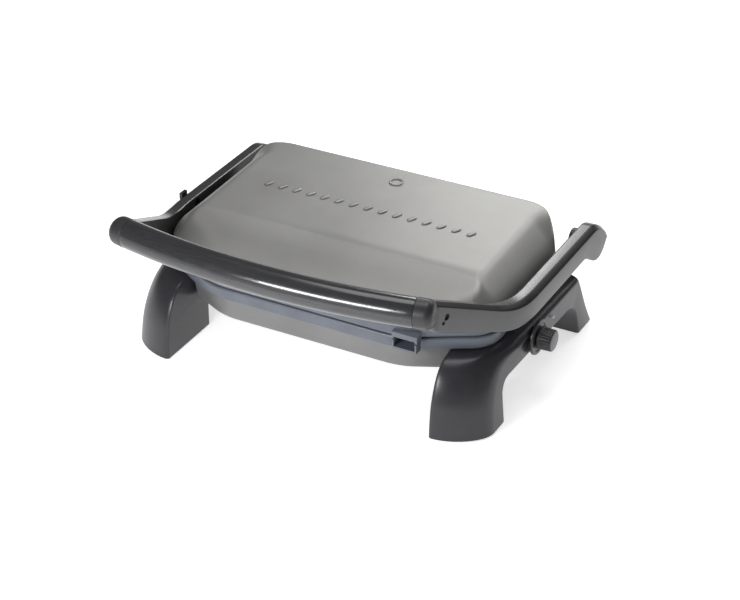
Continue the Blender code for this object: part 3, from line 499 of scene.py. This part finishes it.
def leg_lean(x, y, z):
    """How far a point of the front leg leans inward."""
    near = min(max((-0.010 - y) / 0.040, 0.0), 1.0)
    return LEG_DRAFT * max(z, 0.0) * (x - POD_IN) / (POD_OUT - POD_IN) * near * near * (3 - 2 * near)


def pod_section(x, trim):
    """Side view of the pod at a distance from the middle, made smaller all round by trim."""
    share = (x - POD_IN) / (POD_OUT - POD_IN)
    front = pod_front(x) + trim
    lean = 1.0 + 0.4 * share
    top = POD_TOP - (POD_TOP - POD_EDGE) * max(share - 0.62, 0.0) ** 2 / 0.38 ** 2 - trim
    scale = (top - FOOT_T) / (POD_TOP - FOOT_T)
    back = LEG_BACK_IN + (LEG_BACK_OUT - LEG_BACK_IN) * share - trim
    beam = BEAM_Z + trim
    rise = [(front, FOOT_T)]
    for step_y, z in ((0.0007, 0.015), (0.0022, 0.028), (0.0048, 0.038), (0.0085, 0.047), (0.0130, 0.0545),
                      (0.0185, 0.0600), (0.0250, 0.0632), (0.0340, POD_TOP)):
        rise.append((front + step_y * lean, FOOT_T + (z - FOOT_T) * scale))
    fall = [(REAR_FOOT_F - 0.012, top)]
    for y, z in ((0.1020, 0.0635), (0.1062, 0.0575), (0.1115, 0.0470), (0.1230, 0.0240)):
        fall.append((y - trim, FOOT_T + (z - FOOT_T) * scale))
    fall.append((REAR_FOOT_B - trim, FOOT_T))
    arch = [(REAR_FOOT_F + trim, FOOT_T)]
    for dy, z in ((-0.0015, 0.008), (-0.0060, 0.020), (-0.0110, 0.0290), (-0.0170, 0.0350)):
        arch.append((REAR_FOOT_F + dy + trim, z * beam / BEAM_Z))
    arch.append((REAR_FOOT_F - 0.0270, beam))
    knee = [(back + 0.0125, beam)]
    for dy, dz in ((0.0080, -0.0012), (0.0038, -0.0045), (0.0010, -0.0095), (0.0002, -0.0150)):
        knee.append((back + dy, beam + dz))
    knee.append((back, FOOT_T))
    return flowing(rise, 5) + flowing(fall, 5) + flowing(arch, 4) + flowing(knee, 4)


def across(y, z, profile, seg=64):
    """Rings for a piece turned about a line along X, from (x, radius) pairs."""
    turn = [2 * math.pi * k / seg for k in range(seg)]
    return [[(x, y + r * math.cos(t), z + r * math.sin(t)) for t in turn] for x, r in profile]


pod_plastic = moulded_plastic("moulded ABS, charcoal", "#2b2a2e", 0.34, 0.7, 0.08)
for side, tag in ((1, "right"), (-1, "left")):
    edge = 0.0022
    quarter = [math.radians(a) for a in range(0, 91, 15)]
    xs = [(edge * (1 - math.cos(t)) * 0.55, 0.0012 * (1 - math.sin(t))) for t in quarter]
    xs += [(0.003 + 0.0385 * k / 22, 0.0) for k in range(23)]
    xs += [(0.0415 + 0.0035 * math.sin(t), edge * (1 - math.cos(t))) for t in quarter[1:]]
    rings = [[(side * (x - leg_lean(x, y, z)), y, z) for y, z in pod_section(x, trim)]
             for x, trim in ((POD_IN + step, trim) for step, trim in xs)]
    pod = lofted("side_pod_" + tag, rings, "cap", 40)
    lean = [(0.092, 0.050), (HINGE_Y - 0.0165, HINGE_Z - 0.0125), (HINGE_Y - 0.004, HINGE_Z - 0.002),
            (HINGE_Y + 0.004, HINGE_Z - 0.003), (HINGE_Y - 0.003, HINGE_Z - 0.017), (0.114, 0.035),
            (0.100, 0.030)]
    ear = lofted("ear", [[(side * x, y, z) for y, z in lean] for x in (EAR_IN, EAR_IN + EAR_T)])
    head = lofted("head", across(HINGE_Y, HINGE_Z, [
        (side * (EAR_IN - 0.0004), EAR_R - 0.0006), (side * (EAR_IN + 0.0002), EAR_R),
        (side * (ARM_GAP - 0.0012), EAR_R), (side * (ARM_GAP - 0.0006), EAR_R - 0.0006)]))
    pod = joined("side_pod_" + tag, [pod, ear, head], 40)
    pod.data.materials.append(pod_plastic)
    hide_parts("pod_" + tag)
    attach(pod, "base")

# ---------------------------------------------------------------- feet and hinge pins
# Four moulded rubber pads glued under the legs, and two turned steel pins pressed through the ears.  The
# thermostat's body, behind the right pod, has the same bare steel.
pin_steel = turned_metal("turned steel, zinc plated", "#a9acb0", 0.30)
for place in ("front_right", "front_left", "rear_right", "rear_left"):
    dress("foot_" + place, rubber)
for tag in ("right", "left"):
    dress("hinge_pin_" + tag, pin_steel)
dress("thermostat_body", pin_steel)

# ---------------------------------------------------------------- control knob
# The knob is moulded nylon, ribbed for grip, on a steel shaft; its end face takes a paler copy of that nylon,
# painted light where the lamps on the right fall on it.  It turns in a raised bezel ring on the right pod.
KNOB_Y = 0.0125
KNOB_Z = 0.0505
KNOB_R = 0.0100
KNOB_LEN = 0.0135
KNOB_STEPS = 160
FLUTES = 20
BEZEL_R = 0.0157
BEZEL_T = 0.0025
SHAFT_R = 0.0030
bezel_bore = SHAFT_R + 0.0015
x = POD_OUT + GAP
out = x + BEZEL_T
bezel = lofted("knob_ring", across(KNOB_Y, KNOB_Z, [
    (x, bezel_bore), (x, BEZEL_R - 0.0003), (x + 0.0003, BEZEL_R), (out - 0.0010, BEZEL_R),
    (out - 0.0005, BEZEL_R - 0.0002), (out - 0.0001, BEZEL_R - 0.0006), (out, BEZEL_R - 0.0011),
    (out, BEZEL_R - 0.0026), (out - 0.0002, BEZEL_R - 0.0031), (out - 0.0008, BEZEL_R - 0.0034),
    (out - 0.0008, bezel_bore)], 96), "loop")
bezel.data.materials.append(moulded_plastic("moulded ABS, dark grey ring", "#303033", 0.38, 0.7, 0.08))
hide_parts("knob_bezel")
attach(bezel, "base")

x = POD_OUT + GAP + BEZEL_T
rings = []
for dx, r, grip in ((0.0003, KNOB_R - 0.0005, 0), (0.0006, KNOB_R - 0.0001, 0), (0.0010, KNOB_R, 0),
                    (0.0028, KNOB_R, 0), (0.0034, KNOB_R - 0.0003, 0.6), (0.0042, KNOB_R - 0.0004, 1),
                    (KNOB_LEN - 0.0016, KNOB_R - 0.0006, 1), (KNOB_LEN - 0.0008, KNOB_R - 0.0009, 0.5),
                    (KNOB_LEN - 0.0003, KNOB_R - 0.0015, 0), (KNOB_LEN, KNOB_R - 0.0022, 0)):
    ring = []
    for k in range(KNOB_STEPS):
        t = 2 * math.pi * k / KNOB_STEPS
        flute = max(0.0, math.cos(FLUTES * t)) ** 2 * 0.0007 * grip
        ring.append((x + dx, KNOB_Y + (r - flute) * math.cos(t), KNOB_Z + (r - flute) * math.sin(t)))
    rings.append(ring)
knob = lofted("control_knob", rings, "cap", 40)
knob.data.materials.append(moulded_plastic("moulded nylon, dark", "#242425", 0.45, 0.7, 0.08))
# paler copy of the knob's nylon for its end face: painted light
knob.data.materials.append(moulded_plastic("knob end face, pale grey painted light", "#66666a", 0.45, 0.7, 0.05))
face_x = x + KNOB_LEN + MIDDLE.x - 0.0002
for polygon in knob.data.polygons:
    if polygon.center.x > face_x:
        polygon.material_index = 1
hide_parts("knob")
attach(knob, "knob")
dress("knob_shaft", pin_steel)

# ---------------------------------------------------------------- pointer mark
# A small raised dot on the pod, printed pale, that the knob is set against.
dress("pointer_dot", moulded_plastic("printed mark, pale grey", "#b4b4b6", 0.5))

# ---------------------------------------------------------------- lid's grill plate and heater
# The upper plate is cast and coated like the lower one, with its ribs down.
upper_plate = grill_plate("upper_grill_plate", UPPER_TIP, -1)
upper_plate.data.materials.append(plate_coat)
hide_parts("upper_plate")
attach(upper_plate, "lid")
dress("upper_element", heater_steel)

# ---------------------------------------------------------------- lid frame
# The lid's own moulded frame, the same ABS as the lower one, with a hood over the drain spout.  It is screwed
# to the upper plate from inside.
LID_RIM_Z = SEAM_Z + SEAM
LID_RIM_H = 0.0109
HOOD_T = 0.0021
z0 = LID_RIM_Z
z1 = LID_RIM_Z + LID_RIM_H
lid_rim = rim_loop("lid_frame", [
    (0.0015, z0), (0.0008, z0 + 0.0002), (0.0003, z0 + 0.0008), (0.0001, z0 + 0.0015), (0.0, z0 + 0.0024),
    (0.0, z1 - 0.0024), (0.0002, z1 - 0.0013), (0.0005, z1 - 0.0006), (0.0010, z1 - 0.0001), (0.0016, z1),
    (RIM_T, z1), (RIM_T, z0)])
carve(lid_rim, block((SPOUT_X - SPOUT_W / 2 - HOOD_T, FRONT_Y - SPOUT_OUT, z0),
                     (SPOUT_X + SPOUT_W / 2 + HOOD_T, FRONT_Y + RIM_T * 0.6, z0 + 0.0062), 0.0006), "UNION")
carve(lid_rim, block((SPOUT_X - SPOUT_W / 2, FRONT_Y - 0.02, z0 - 0.005),
                     (SPOUT_X + SPOUT_W / 2, FRONT_Y + RIM_T + 0.02, z0 + 0.0016)))
lid_rim.data.materials.append(rim_plastic)
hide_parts("lid_rim")
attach(lid_rim, "lid")

# ---------------------------------------------------------------- lid cover
# One steel pressing, sprayed silver-grey, whose top rises a little to the back and turns down to the front at
# a soft crease.  A row of lozenges and a small ring are pressed up in it.  It snaps over the lid's frame.
LID_TOP = 0.1175
CREASE_Y = -0.0210
FRONT_FALL = 0.43
BACK_RISE = 0.030
LID_SHELL_Z = LID_RIM_Z + LID_RIM_H + GAP
LID_SPAN = LID_TOP - LID_SHELL_Z
LID_T = 0.0012
CREASE_SOFT = 0.008                         # half the length over which the crease turns
EDGE_SOFT = 0.0026                          # how soon the wall and the top melt together
# share of the height that the cover has reached at each distance in from its outline
SIDE_PROFILE = ((0.0, 0.0), (0.0005, 0.09), (0.0017, 0.20), (0.0038, 0.33), (0.0068, 0.47), (0.0105, 0.60),
                (0.0145, 0.725), (0.0185, 0.84), (0.0215, 0.915), (0.0243, 0.965), (0.0275, 0.995),
                (0.0380, 1.0))
REAR_PROFILE = ((0.0, 0.0), (0.0003, 0.17), (0.0007, 0.38), (0.0012, 0.58), (0.0019, 0.76), (0.0027, 0.88),
                (0.0037, 0.955), (0.0049, 0.99), (0.0062, 1.0), (0.0120, 1.0), (0.0300, 1.0), (0.0380, 1.0))
side_line = np.array(flowing(SIDE_PROFILE, 8))
rear_line = np.array(flowing(REAR_PROFILE, 8))
TOP_STOPS = [CREASE_Y + 0.001 * k for k in range(-5, 14)] + [0.0, 0.008, 0.020, 0.035, 0.050, 0.065]


def ease(u, r):
    """Zero, then u, with a smooth turn between over r on each side of zero."""
    return 0.0 if u <= -r else u if u >= r else (u + r) ** 2 / (4 * r)


def lid_top(y):
    return LID_TOP + BACK_RISE * (y - CREASE_Y)


def lid_rings(inset):
    """Rings over the cover, from its foot to its top, and inset from its outer skin."""
    rings = []
    foot = [y for _, y in body_outline(inset, TOP_STOPS)]
    for d in [0.0, 0.0003, 0.0007, 0.0012] + list(np.linspace(0.0019, 0.038, 34)):
        ring = []
        for start, (x, y) in zip(foot, body_outline(d + inset, TOP_STOPS)):
            back = min(max((start - (BACK_Y - 0.034)) / 0.030, 0.0), 1.0)
            back = back * back * (3 - 2 * back)
            share = np.interp(d, side_line[:, 0], side_line[:, 1]) * (1 - back)
            share += np.interp(d, rear_line[:, 0], rear_line[:, 1]) * back
            wall = LID_SHELL_Z + (LID_SPAN + BACK_RISE * max(y - CREASE_Y, 0.0)) * share
            top = lid_top(y) - FRONT_FALL * ease(CREASE_Y - y, CREASE_SOFT)
            mix = max(EDGE_SOFT - abs(wall - top), 0.0) / EDGE_SOFT
            z = min(wall, top) - mix * mix * EDGE_SOFT / 4
            ring.append((x, y, max(z - inset, LID_SHELL_Z)))
        rings.append(ring)
    rings[0] = [(x, y, LID_SHELL_Z) for x, y, _ in rings[0]]
    return rings


shell = lofted("lid_cover", lid_rings(LID_T)[::-1] + lid_rings(0.0), "strips", 50)
lid_paint = sprayed_steel("sprayed steel, silver-grey", "#aaa9a6", "#989794", 0.65, 0.46, 0.5, 0.05, 80)
shell.data.materials.append(lid_paint)
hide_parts("lid_shell")
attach(shell, "lid")

LOZENGES = 15
LOZENGE_PITCH = 0.0140
LOZENGE_Y = 0.0330
RING_X = 0.0005
RING_Y = 0.0845
pressed = []
for i in range(LOZENGES):
    cx = LOZENGE_PITCH * (i - LOZENGES // 2)
    rings = []
    for grow, rise in ((1.12, -0.0003), (1.04, 0.00005), (0.94, 0.0003), (0.80, 0.00052), (0.55, 0.0006)):
        ring = []
        for k in range(32):
            t = 2 * math.pi * k / 32
            u = 0.0042 * math.copysign(abs(math.cos(t)) ** 0.8, math.cos(t)) * grow
            v = 0.0021 * math.copysign(abs(math.sin(t)) ** 0.8, math.sin(t)) * grow
            y = LOZENGE_Y + 0.87 * u + 0.5 * v
            ring.append((cx + 0.5 * u - 0.87 * v, y, lid_top(y) + rise))
        rings.append(ring)
    pressed.append(lofted("lozenge", rings, "cap", 60))
rings = []
for rise, r in ((-0.0003, 0.0046), (0.0003, 0.0050), (0.0005, 0.0056), (0.0003, 0.0062), (-0.0003, 0.0066)):
    ring = []
    for k in range(48):
        t = 2 * math.pi * k / 48
        y = RING_Y + r * math.sin(t)
        ring.append((RING_X + r * math.cos(t), y, lid_top(y) + rise))
    rings.append(ring)
pressed.append(lofted("ring", rings, "loop", 60))
motif = joined("lid_pressed_motif", pressed, 60)
motif.data.materials.append(lid_paint)
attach(motif, "lid")

# ---------------------------------------------------------------- lid lugs
# Black moulded brackets screwed to the lid's frame, each with a stud that rides in the slot of an arm.
cap_plastic = moulded_plastic("moulded PBT, satin black", "#2c2c2e", 0.40, 0.7, 0.06)
for tag in ("right", "left"):
    dress("lid_lug_" + tag, cap_plastic)

# ---------------------------------------------------------------- arms
# Moulded glass-filled nylon arms in a satin grey.  The bevel along the outer top edge and the inner face are
# given near-black copies of that nylon, and the top a darker, glossier one: painted shade.  They turn on the
# hinge pins behind, rise in front and close in to the ends of the handle.
ARM_T = 0.0140
ARM_TOP = 0.1010
ARM_H = 0.0220
ARM_FRONT = -0.1240
BOSS_R = 0.0155
ARM_DIP = 0.505                             # how steeply the arms rise in front
DIP_Y = -0.0310
BEND_Y = -0.0180                            # where they start to close in
BEND_SOFT = 0.022
FLOAT_Y = 0.0120
FLOAT_Z = 0.0845
FLOAT_TRAVEL = 0.0100
SLOT_R = 0.0038
SLOT_DEEP = 0.0078
BORE_R = 0.0041
BORE_DEEP = 0.0095
LOCK_RAIL = (0.0001, 0.0151)                # from front to back
LOCK_RAIL_LOW = ARM_TOP - 0.0067


def arm_outer(y):
    return ARM_GAP + ARM_T - 0.30 * ease(BEND_Y - y, BEND_SOFT)


def arm_top(y):
    """Upper edge of the arm seen from the side: it rises in front and ends behind in the hinge's boss."""
    top = ARM_TOP + ARM_DIP * ease(DIP_Y - y, BEND_SOFT)
    start = HINGE_Y - 0.0130
    if y > start:
        turn = HINGE_Y + BOSS_R * 0.70
        if y < turn:
            u = (y - start) / (turn - start)
            low = HINGE_Z + BOSS_R * 0.714
            top = ARM_TOP + (low - ARM_TOP) * (0.45 * u * u + 0.55 * u ** 1.3)
        else:
            top = HINGE_Z + BOSS_R * math.sqrt(max(1.0 - ((y - HINGE_Y) / BOSS_R) ** 2, 0.0))
    return top


def arm_bottom(y):
    """Lower edge of the arm seen from the side."""
    height = ARM_H + 0.0054 * min(max((-0.010 - y) / 0.107, 0.0), 1.0)
    low = ARM_TOP + ARM_DIP * ease(DIP_Y - y, BEND_SOFT) - height
    start = HINGE_Y - 0.0360
    if y > start:
        u = min((y - start) / (HINGE_Y - start), 1.0)
        low += (HINGE_Z - BOSS_R - low) * u * u * (3 - 2 * u)
        if y > HINGE_Y:
            low = HINGE_Z - BOSS_R * math.sqrt(max(1.0 - ((y - HINGE_Y) / BOSS_R) ** 2, 0.0))
    return low


def arm_section(y, nose=0.0):
    """Corner points of the arm across its length: a soft rectangle with a bevel along the outer top edge."""
    xo = arm_outer(y) - nose
    xi = arm_outer(y) - ARM_T + nose * 0.6
    top = arm_top(y) - nose
    low = arm_bottom(y) + nose
    k = min(1.0, (top - low) / 0.014)
    rear = min(max((y - (HINGE_Y - 0.012)) / 0.02, 0.0), 1.0)
    r = (0.0020 + 0.0030 * rear) * k
    middle = (top + low) / 2
    points = [(xi + 0.0012 * k, low), (xi + 0.0004 * k, low + 0.0004 * k), (xi, low + 0.0012 * k),
              (xi, middle), (xi, top - 0.0010 * k), (xi + 0.0002 * k, top - 0.0004 * k),
              (xi + 0.0008 * k, top - 0.00005), (xi + 0.0016 * k, top),
              (xo - 0.0055 * k, top), (xo - 0.0048 * k, top - 0.0001 * k),
              (xo - 0.0043 * k, top - 0.0004 * k), (xo - 0.0014 * k, top - 0.0029 * k),
              (xo - 0.0006 * k, top - 0.0036 * k),
              (xo - 0.0002 * k, top - 0.0042 * k), (xo, top - 0.0050 * k), (xo, middle), (xo, low + r)]
    for a in (22.5, 45, 67.5, 90):
        t = math.radians(a)
        points.append((xo - r * (1 - math.cos(t)), low + r * (1 - math.sin(t))))
    return points


arm_plastic = moulded_plastic("glass-filled nylon, grey", "#48484a", 0.36, 0.7, 0.08)
# near-black copy of the arm nylon for the outer top bevel: painted shade
bevel_painted_shade = moulded_plastic("glass-filled nylon, bevel painted shade", "#1c1c1d", 0.32, 0.7, 0.02, specular=0.3)
# near-black copy of the arm nylon for the inner face: painted shade
inner_face_painted_shade = moulded_plastic("glass-filled nylon, inner face painted shade", "#121212", 0.45, 0.7, 0.06)
# darker copy of the arm nylon for the top faces, with high specular to catch the lamps: painted shade
top_painted_shade = moulded_plastic("glass-filled nylon, top painted shade", "#2e2b2a", 0.26, 0.7, 0.03, specular=1.0)
y_line = list(np.linspace(ARM_FRONT, 0.012, 90)) + list(np.linspace(0.012, HINGE_Y - 0.036, 8))[1:]
y_line += list(np.linspace(HINGE_Y - 0.036, HINGE_Y, 19))[1:]
y_line += [HINGE_Y + BOSS_R * math.sin(math.radians(a)) for a in (*range(6, 79, 6), 83, 87, 89)]


def hole(y, z, radius, near, far, seg):
    """A round cutter lying along X, from near to far."""
    return lofted("tool", across(y, z, [(near, radius), (far, radius)], seg))


for side, tag in ((1, "right"), (-1, "left")):
    nose = [(ARM_FRONT, 0.0034), (ARM_FRONT + 0.0003, 0.0022), (ARM_FRONT + 0.0009, 0.0012),
            (ARM_FRONT + 0.0017, 0.0005), (ARM_FRONT + 0.0028, 0.0001)]
    steps = nose + [(y, 0.0) for y in y_line if y > ARM_FRONT + 0.004]
    rings = [[(side * x, y, z) for x, z in arm_section(y, n)] for y, n in steps]
    arm = lofted("arm_" + tag + "_moulding", rings, "cap", 30)
    screw_y = ARM_FRONT + 0.0125
    screw_z = (arm_top(screw_y) + arm_bottom(screw_y)) / 2
    face = arm_outer(screw_y)
    outside = side * (face + 0.01)
    carve(arm, hole(screw_y, screw_z + 0.001, 0.0030, side * (face - 0.0031), outside, 32), sharp=30)
    peg = hole(screw_y - 0.0034, screw_z - 0.0032, 0.0016, side * (face - 0.0026), outside, 24)
    carve(arm, peg, sharp=30)
    inner = ARM_GAP - 0.002
    carve(arm, hole(HINGE_Y, HINGE_Z, BORE_R, side * inner, side * (ARM_GAP + BORE_DEEP), 40), sharp=30)
    slot = []
    for t in np.linspace(0.0, 2 * math.pi, 40, endpoint=False):
        end_z = FLOAT_Z + (FLOAT_TRAVEL if t < math.pi else 0.0)
        slot.append((FLOAT_Y + SLOT_R * math.cos(t), end_z + SLOT_R * math.sin(t)))
    room = [[(side * x, y, z) for y, z in slot] for x in (inner, ARM_GAP + SLOT_DEEP)]
    carve(arm, lofted("tool", room), sharp=30)
    if side < 0:
        low = (-(ARM_GAP + ARM_T + 0.01), LOCK_RAIL[0], LOCK_RAIL_LOW)
        high = (-(ARM_GAP + ARM_T - 0.0016), LOCK_RAIL[1], ARM_TOP + 0.01)
        carve(arm, block(low, high), sharp=30)
    for mat in (arm_plastic, bevel_painted_shade, inner_face_painted_shade, top_painted_shade):
        arm.data.materials.append(mat)
    # faces sorted by which way they face: the inner face, the outer top bevel and the top take the copies
    # with painted shade
    for polygon in arm.data.polygons:
        n = polygon.normal
        c = polygon.center - MIDDLE
        outer = arm_outer(c.y)
        if n.x * side < -0.6 and abs(c.x) < outer - ARM_T + 0.0015:
            polygon.material_index = 2
        elif n.z > 0.25 and abs(c.x) > outer - 0.0052 and c.z > arm_top(c.y) - 0.0052:
            polygon.material_index = 1
        elif n.z > 0.25 and c.z > arm_top(c.y) - 0.002:
            polygon.material_index = 3
    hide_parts("arm_" + tag)
    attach(arm, "arms")

# ---------------------------------------------------------------- handle
# A bowed steel tube, lacquered in a glossy gunmetal, between two satin black end caps, each held to its arm
# by a screw from the side.
TUBE_R = 0.0123
TUBE_HALF = 0.1305
TUBE_Y = -0.1477
TUBE_Z = 0.1410
TUBE_BOW = 0.0134
BOW_R = (TUBE_HALF ** 2 + TUBE_BOW ** 2) / (2 * TUBE_BOW)


def tube_rings(radii, xs, side=1, seg=72):
    """Rings square to the bowed centre line of the handle, one for each radius and place along X."""
    rings = []
    for r, x in zip(radii, xs):
        lean = x / BOW_R
        upright = math.sqrt(1 - lean * lean)
        centre = TUBE_Y + BOW_R - math.sqrt(BOW_R ** 2 - x * x)
        ring = []
        for k in range(seg):
            t = 2 * math.pi * k / seg
            out = r * math.cos(t)
            ring.append((side * (x - out * lean), centre + out * upright, TUBE_Z + r * math.sin(t)))
        rings.append(ring)
    return rings


def lacquered_tube(name):
    """Gunmetal lacquer over a drawn steel tube.  It gives the eye a dark, half-metallic ground with faint
    draw lines, and a sharp gleam from the clear coat on it."""
    mat, tree, where, shader = new_material(name, Metallic=0.5, Coat_Weight=0.3, Coat_Roughness=0.04)
    lines = add_node(tree, "ShaderNodeMapping", {"Scale": (0.04, 1.0, 1.0)}, {"Vector": where})
    draw = add_node(tree, "ShaderNodeTexNoise", {"Scale": 1000 / 1.2, "Detail": 3.0},
                    {"Vector": lines.outputs["Vector"]})
    ramp = add_node(tree, "ShaderNodeValToRGB", (), {"Fac": draw.outputs["Fac"]})
    ramp.color_ramp.elements[0].position = 0.3
    ramp.color_ramp.elements[0].color = paint("#38383a")
    ramp.color_ramp.elements[1].position = 0.7
    ramp.color_ramp.elements[1].color = paint("#434345")
    tree.links.new(ramp.outputs["Color"], shader.inputs["Base Color"])
    gloss = add_node(tree, "ShaderNodeMapRange", {"To Min": 0.16, "To Max": 0.26},
                     {"Value": draw.outputs["Fac"]})
    tree.links.new(gloss.outputs["Result"], shader.inputs["Roughness"])
    return mat


TUBE_T = 0.0016
CAP_ROUND = 0.0060
xs = list(np.linspace(-TUBE_HALF, TUBE_HALF, 90))
broken_edge = TUBE_R - 0.0003
outer_skin = tube_rings([broken_edge] + [TUBE_R] * 88 + [broken_edge], xs)
tube = lofted("handle_tube_skin", outer_skin + tube_rings([TUBE_R - TUBE_T] * 90, xs)[::-1], "loop")
tube.data.materials.append(lacquered_tube("lacquered steel tube, gunmetal"))
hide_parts("handle_tube")
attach(tube, "arms")

for side, tag in ((1, "right"), (-1, "left")):
    shape = [(0.0003, TUBE_R - 0.0003), (0.0006, TUBE_R), (0.0080, TUBE_R)]
    for a in (5, 15, 25, 35, 45, 55, 65, 75, 84):
        t = math.radians(a)
        shape.append((0.0092 + CAP_ROUND * math.sin(t), TUBE_R - CAP_ROUND * (1 - math.cos(t)) - 0.00001 * a))
    shape.append((0.0152, TUBE_R * 0.5 - 0.0012))
    cap_rings = tube_rings([r for _, r in shape], [TUBE_HALF + dx for dx, _ in shape], side)
    cap = lofted("handle_end_" + tag, cap_rings, "cap", 40)
    cap.data.materials.append(cap_plastic)
    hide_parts("handle_cap_" + tag)
    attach(cap, "arms")
    dress("handle_screw_" + tag, pin_steel)

# ---------------------------------------------------------------- lock slide
# A small moulded catch, satin black, that slides in a rail on the left arm and holds the lid's float.
dress("lock_slide", cap_plastic)

# ---------------------------------------------------------------- table, light and camera
# A plain pale table.  Two softboxes stand behind it, a broad one and a narrow one on its left, with a large
# soft one overhead, and a strip in front for the gleam along the handle.
bpy.ops.mesh.primitive_plane_add(size=12.0, location=(0, 0, 0))
floor = bpy.context.object
floor.name = "table_top"
floor_paint, tree, where, shader = new_material("matt white table", Roughness=0.9, Emission_Strength=0.62)
shader.inputs["Specular IOR Level"].default_value = 0.1
shader.inputs["Emission Color"].default_value = (1.0, 1.0, 1.0, 1.0)
speck = add_node(tree, "ShaderNodeTexNoise", {"Scale": 3.0}, {"Vector": where})
ramp = add_node(tree, "ShaderNodeValToRGB", (), {"Fac": speck.outputs["Fac"]})
ramp.color_ramp.elements[0].color = paint("#f4f4f4")
ramp.color_ramp.elements[1].color = paint("#fbfbfb")
tree.links.new(ramp.outputs["Color"], shader.inputs["Base Color"])
floor.data.materials.append(floor_paint)
floor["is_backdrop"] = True

world = bpy.data.worlds.new("studio")
bpy.context.scene.world = world
world.use_nodes = True
world.node_tree.nodes["Background"].inputs["Color"].default_value = (0.95, 0.97, 1.0, 1.0)
world.node_tree.nodes["Background"].inputs["Strength"].default_value = 0.20


def soft_light(name, place, aim, size, power):
    """A rectangular area light at place, turned to aim, of a size in metres and a power in watts."""
    lamp = bpy.data.lights.new(name, "AREA")
    lamp.shape = "RECTANGLE"
    lamp.size, lamp.size_y = size
    lamp.energy = power
    obj = bpy.data.objects.new(name, lamp)
    bpy.context.scene.collection.objects.link(obj)
    obj.location = place
    obj.rotation_euler = (Vector(aim) - Vector(place)).to_track_quat("-Z", "Y").to_euler()


soft_light("back softbox", (0.18, 0.98, 0.74), (0.05, 0.0, 0.1), (0.90, 0.46), 3.6)
soft_light("back left softbox", (-0.33, 0.98, 0.74), (0.10, 0.0, 0.1), (0.22, 0.42), 1.5)
soft_light("top softbox", (-0.10, 0.30, 1.9), (0.0, 0.0, 0.0), (1.2, 1.0), 12)
soft_light("front strip", (-0.05, -0.52, 0.26), (0.0, -0.15, 0.14), (0.26, 0.080), 2.0)

scene = bpy.context.scene
scene.view_settings.view_transform = "Standard"
lens = bpy.data.cameras.new("camera")
camera = bpy.data.objects.new("camera", lens)
scene.collection.objects.link(camera)
scene.camera = camera
lens.sensor_width = 36.0
lens.lens = 97.3
turn = math.radians(28.07)
rise = math.radians(30.88)
back = Vector((math.sin(turn) * math.cos(rise), -math.cos(turn) * math.cos(rise), math.sin(rise)))
camera.location = MIDDLE + Vector((0.0195, 0.0, 0.050)) + back * 1.715
camera.rotation_mode = "QUATERNION"
camera.rotation_quaternion = (-back).to_track_quat("-Z", "Y")

low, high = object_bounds()
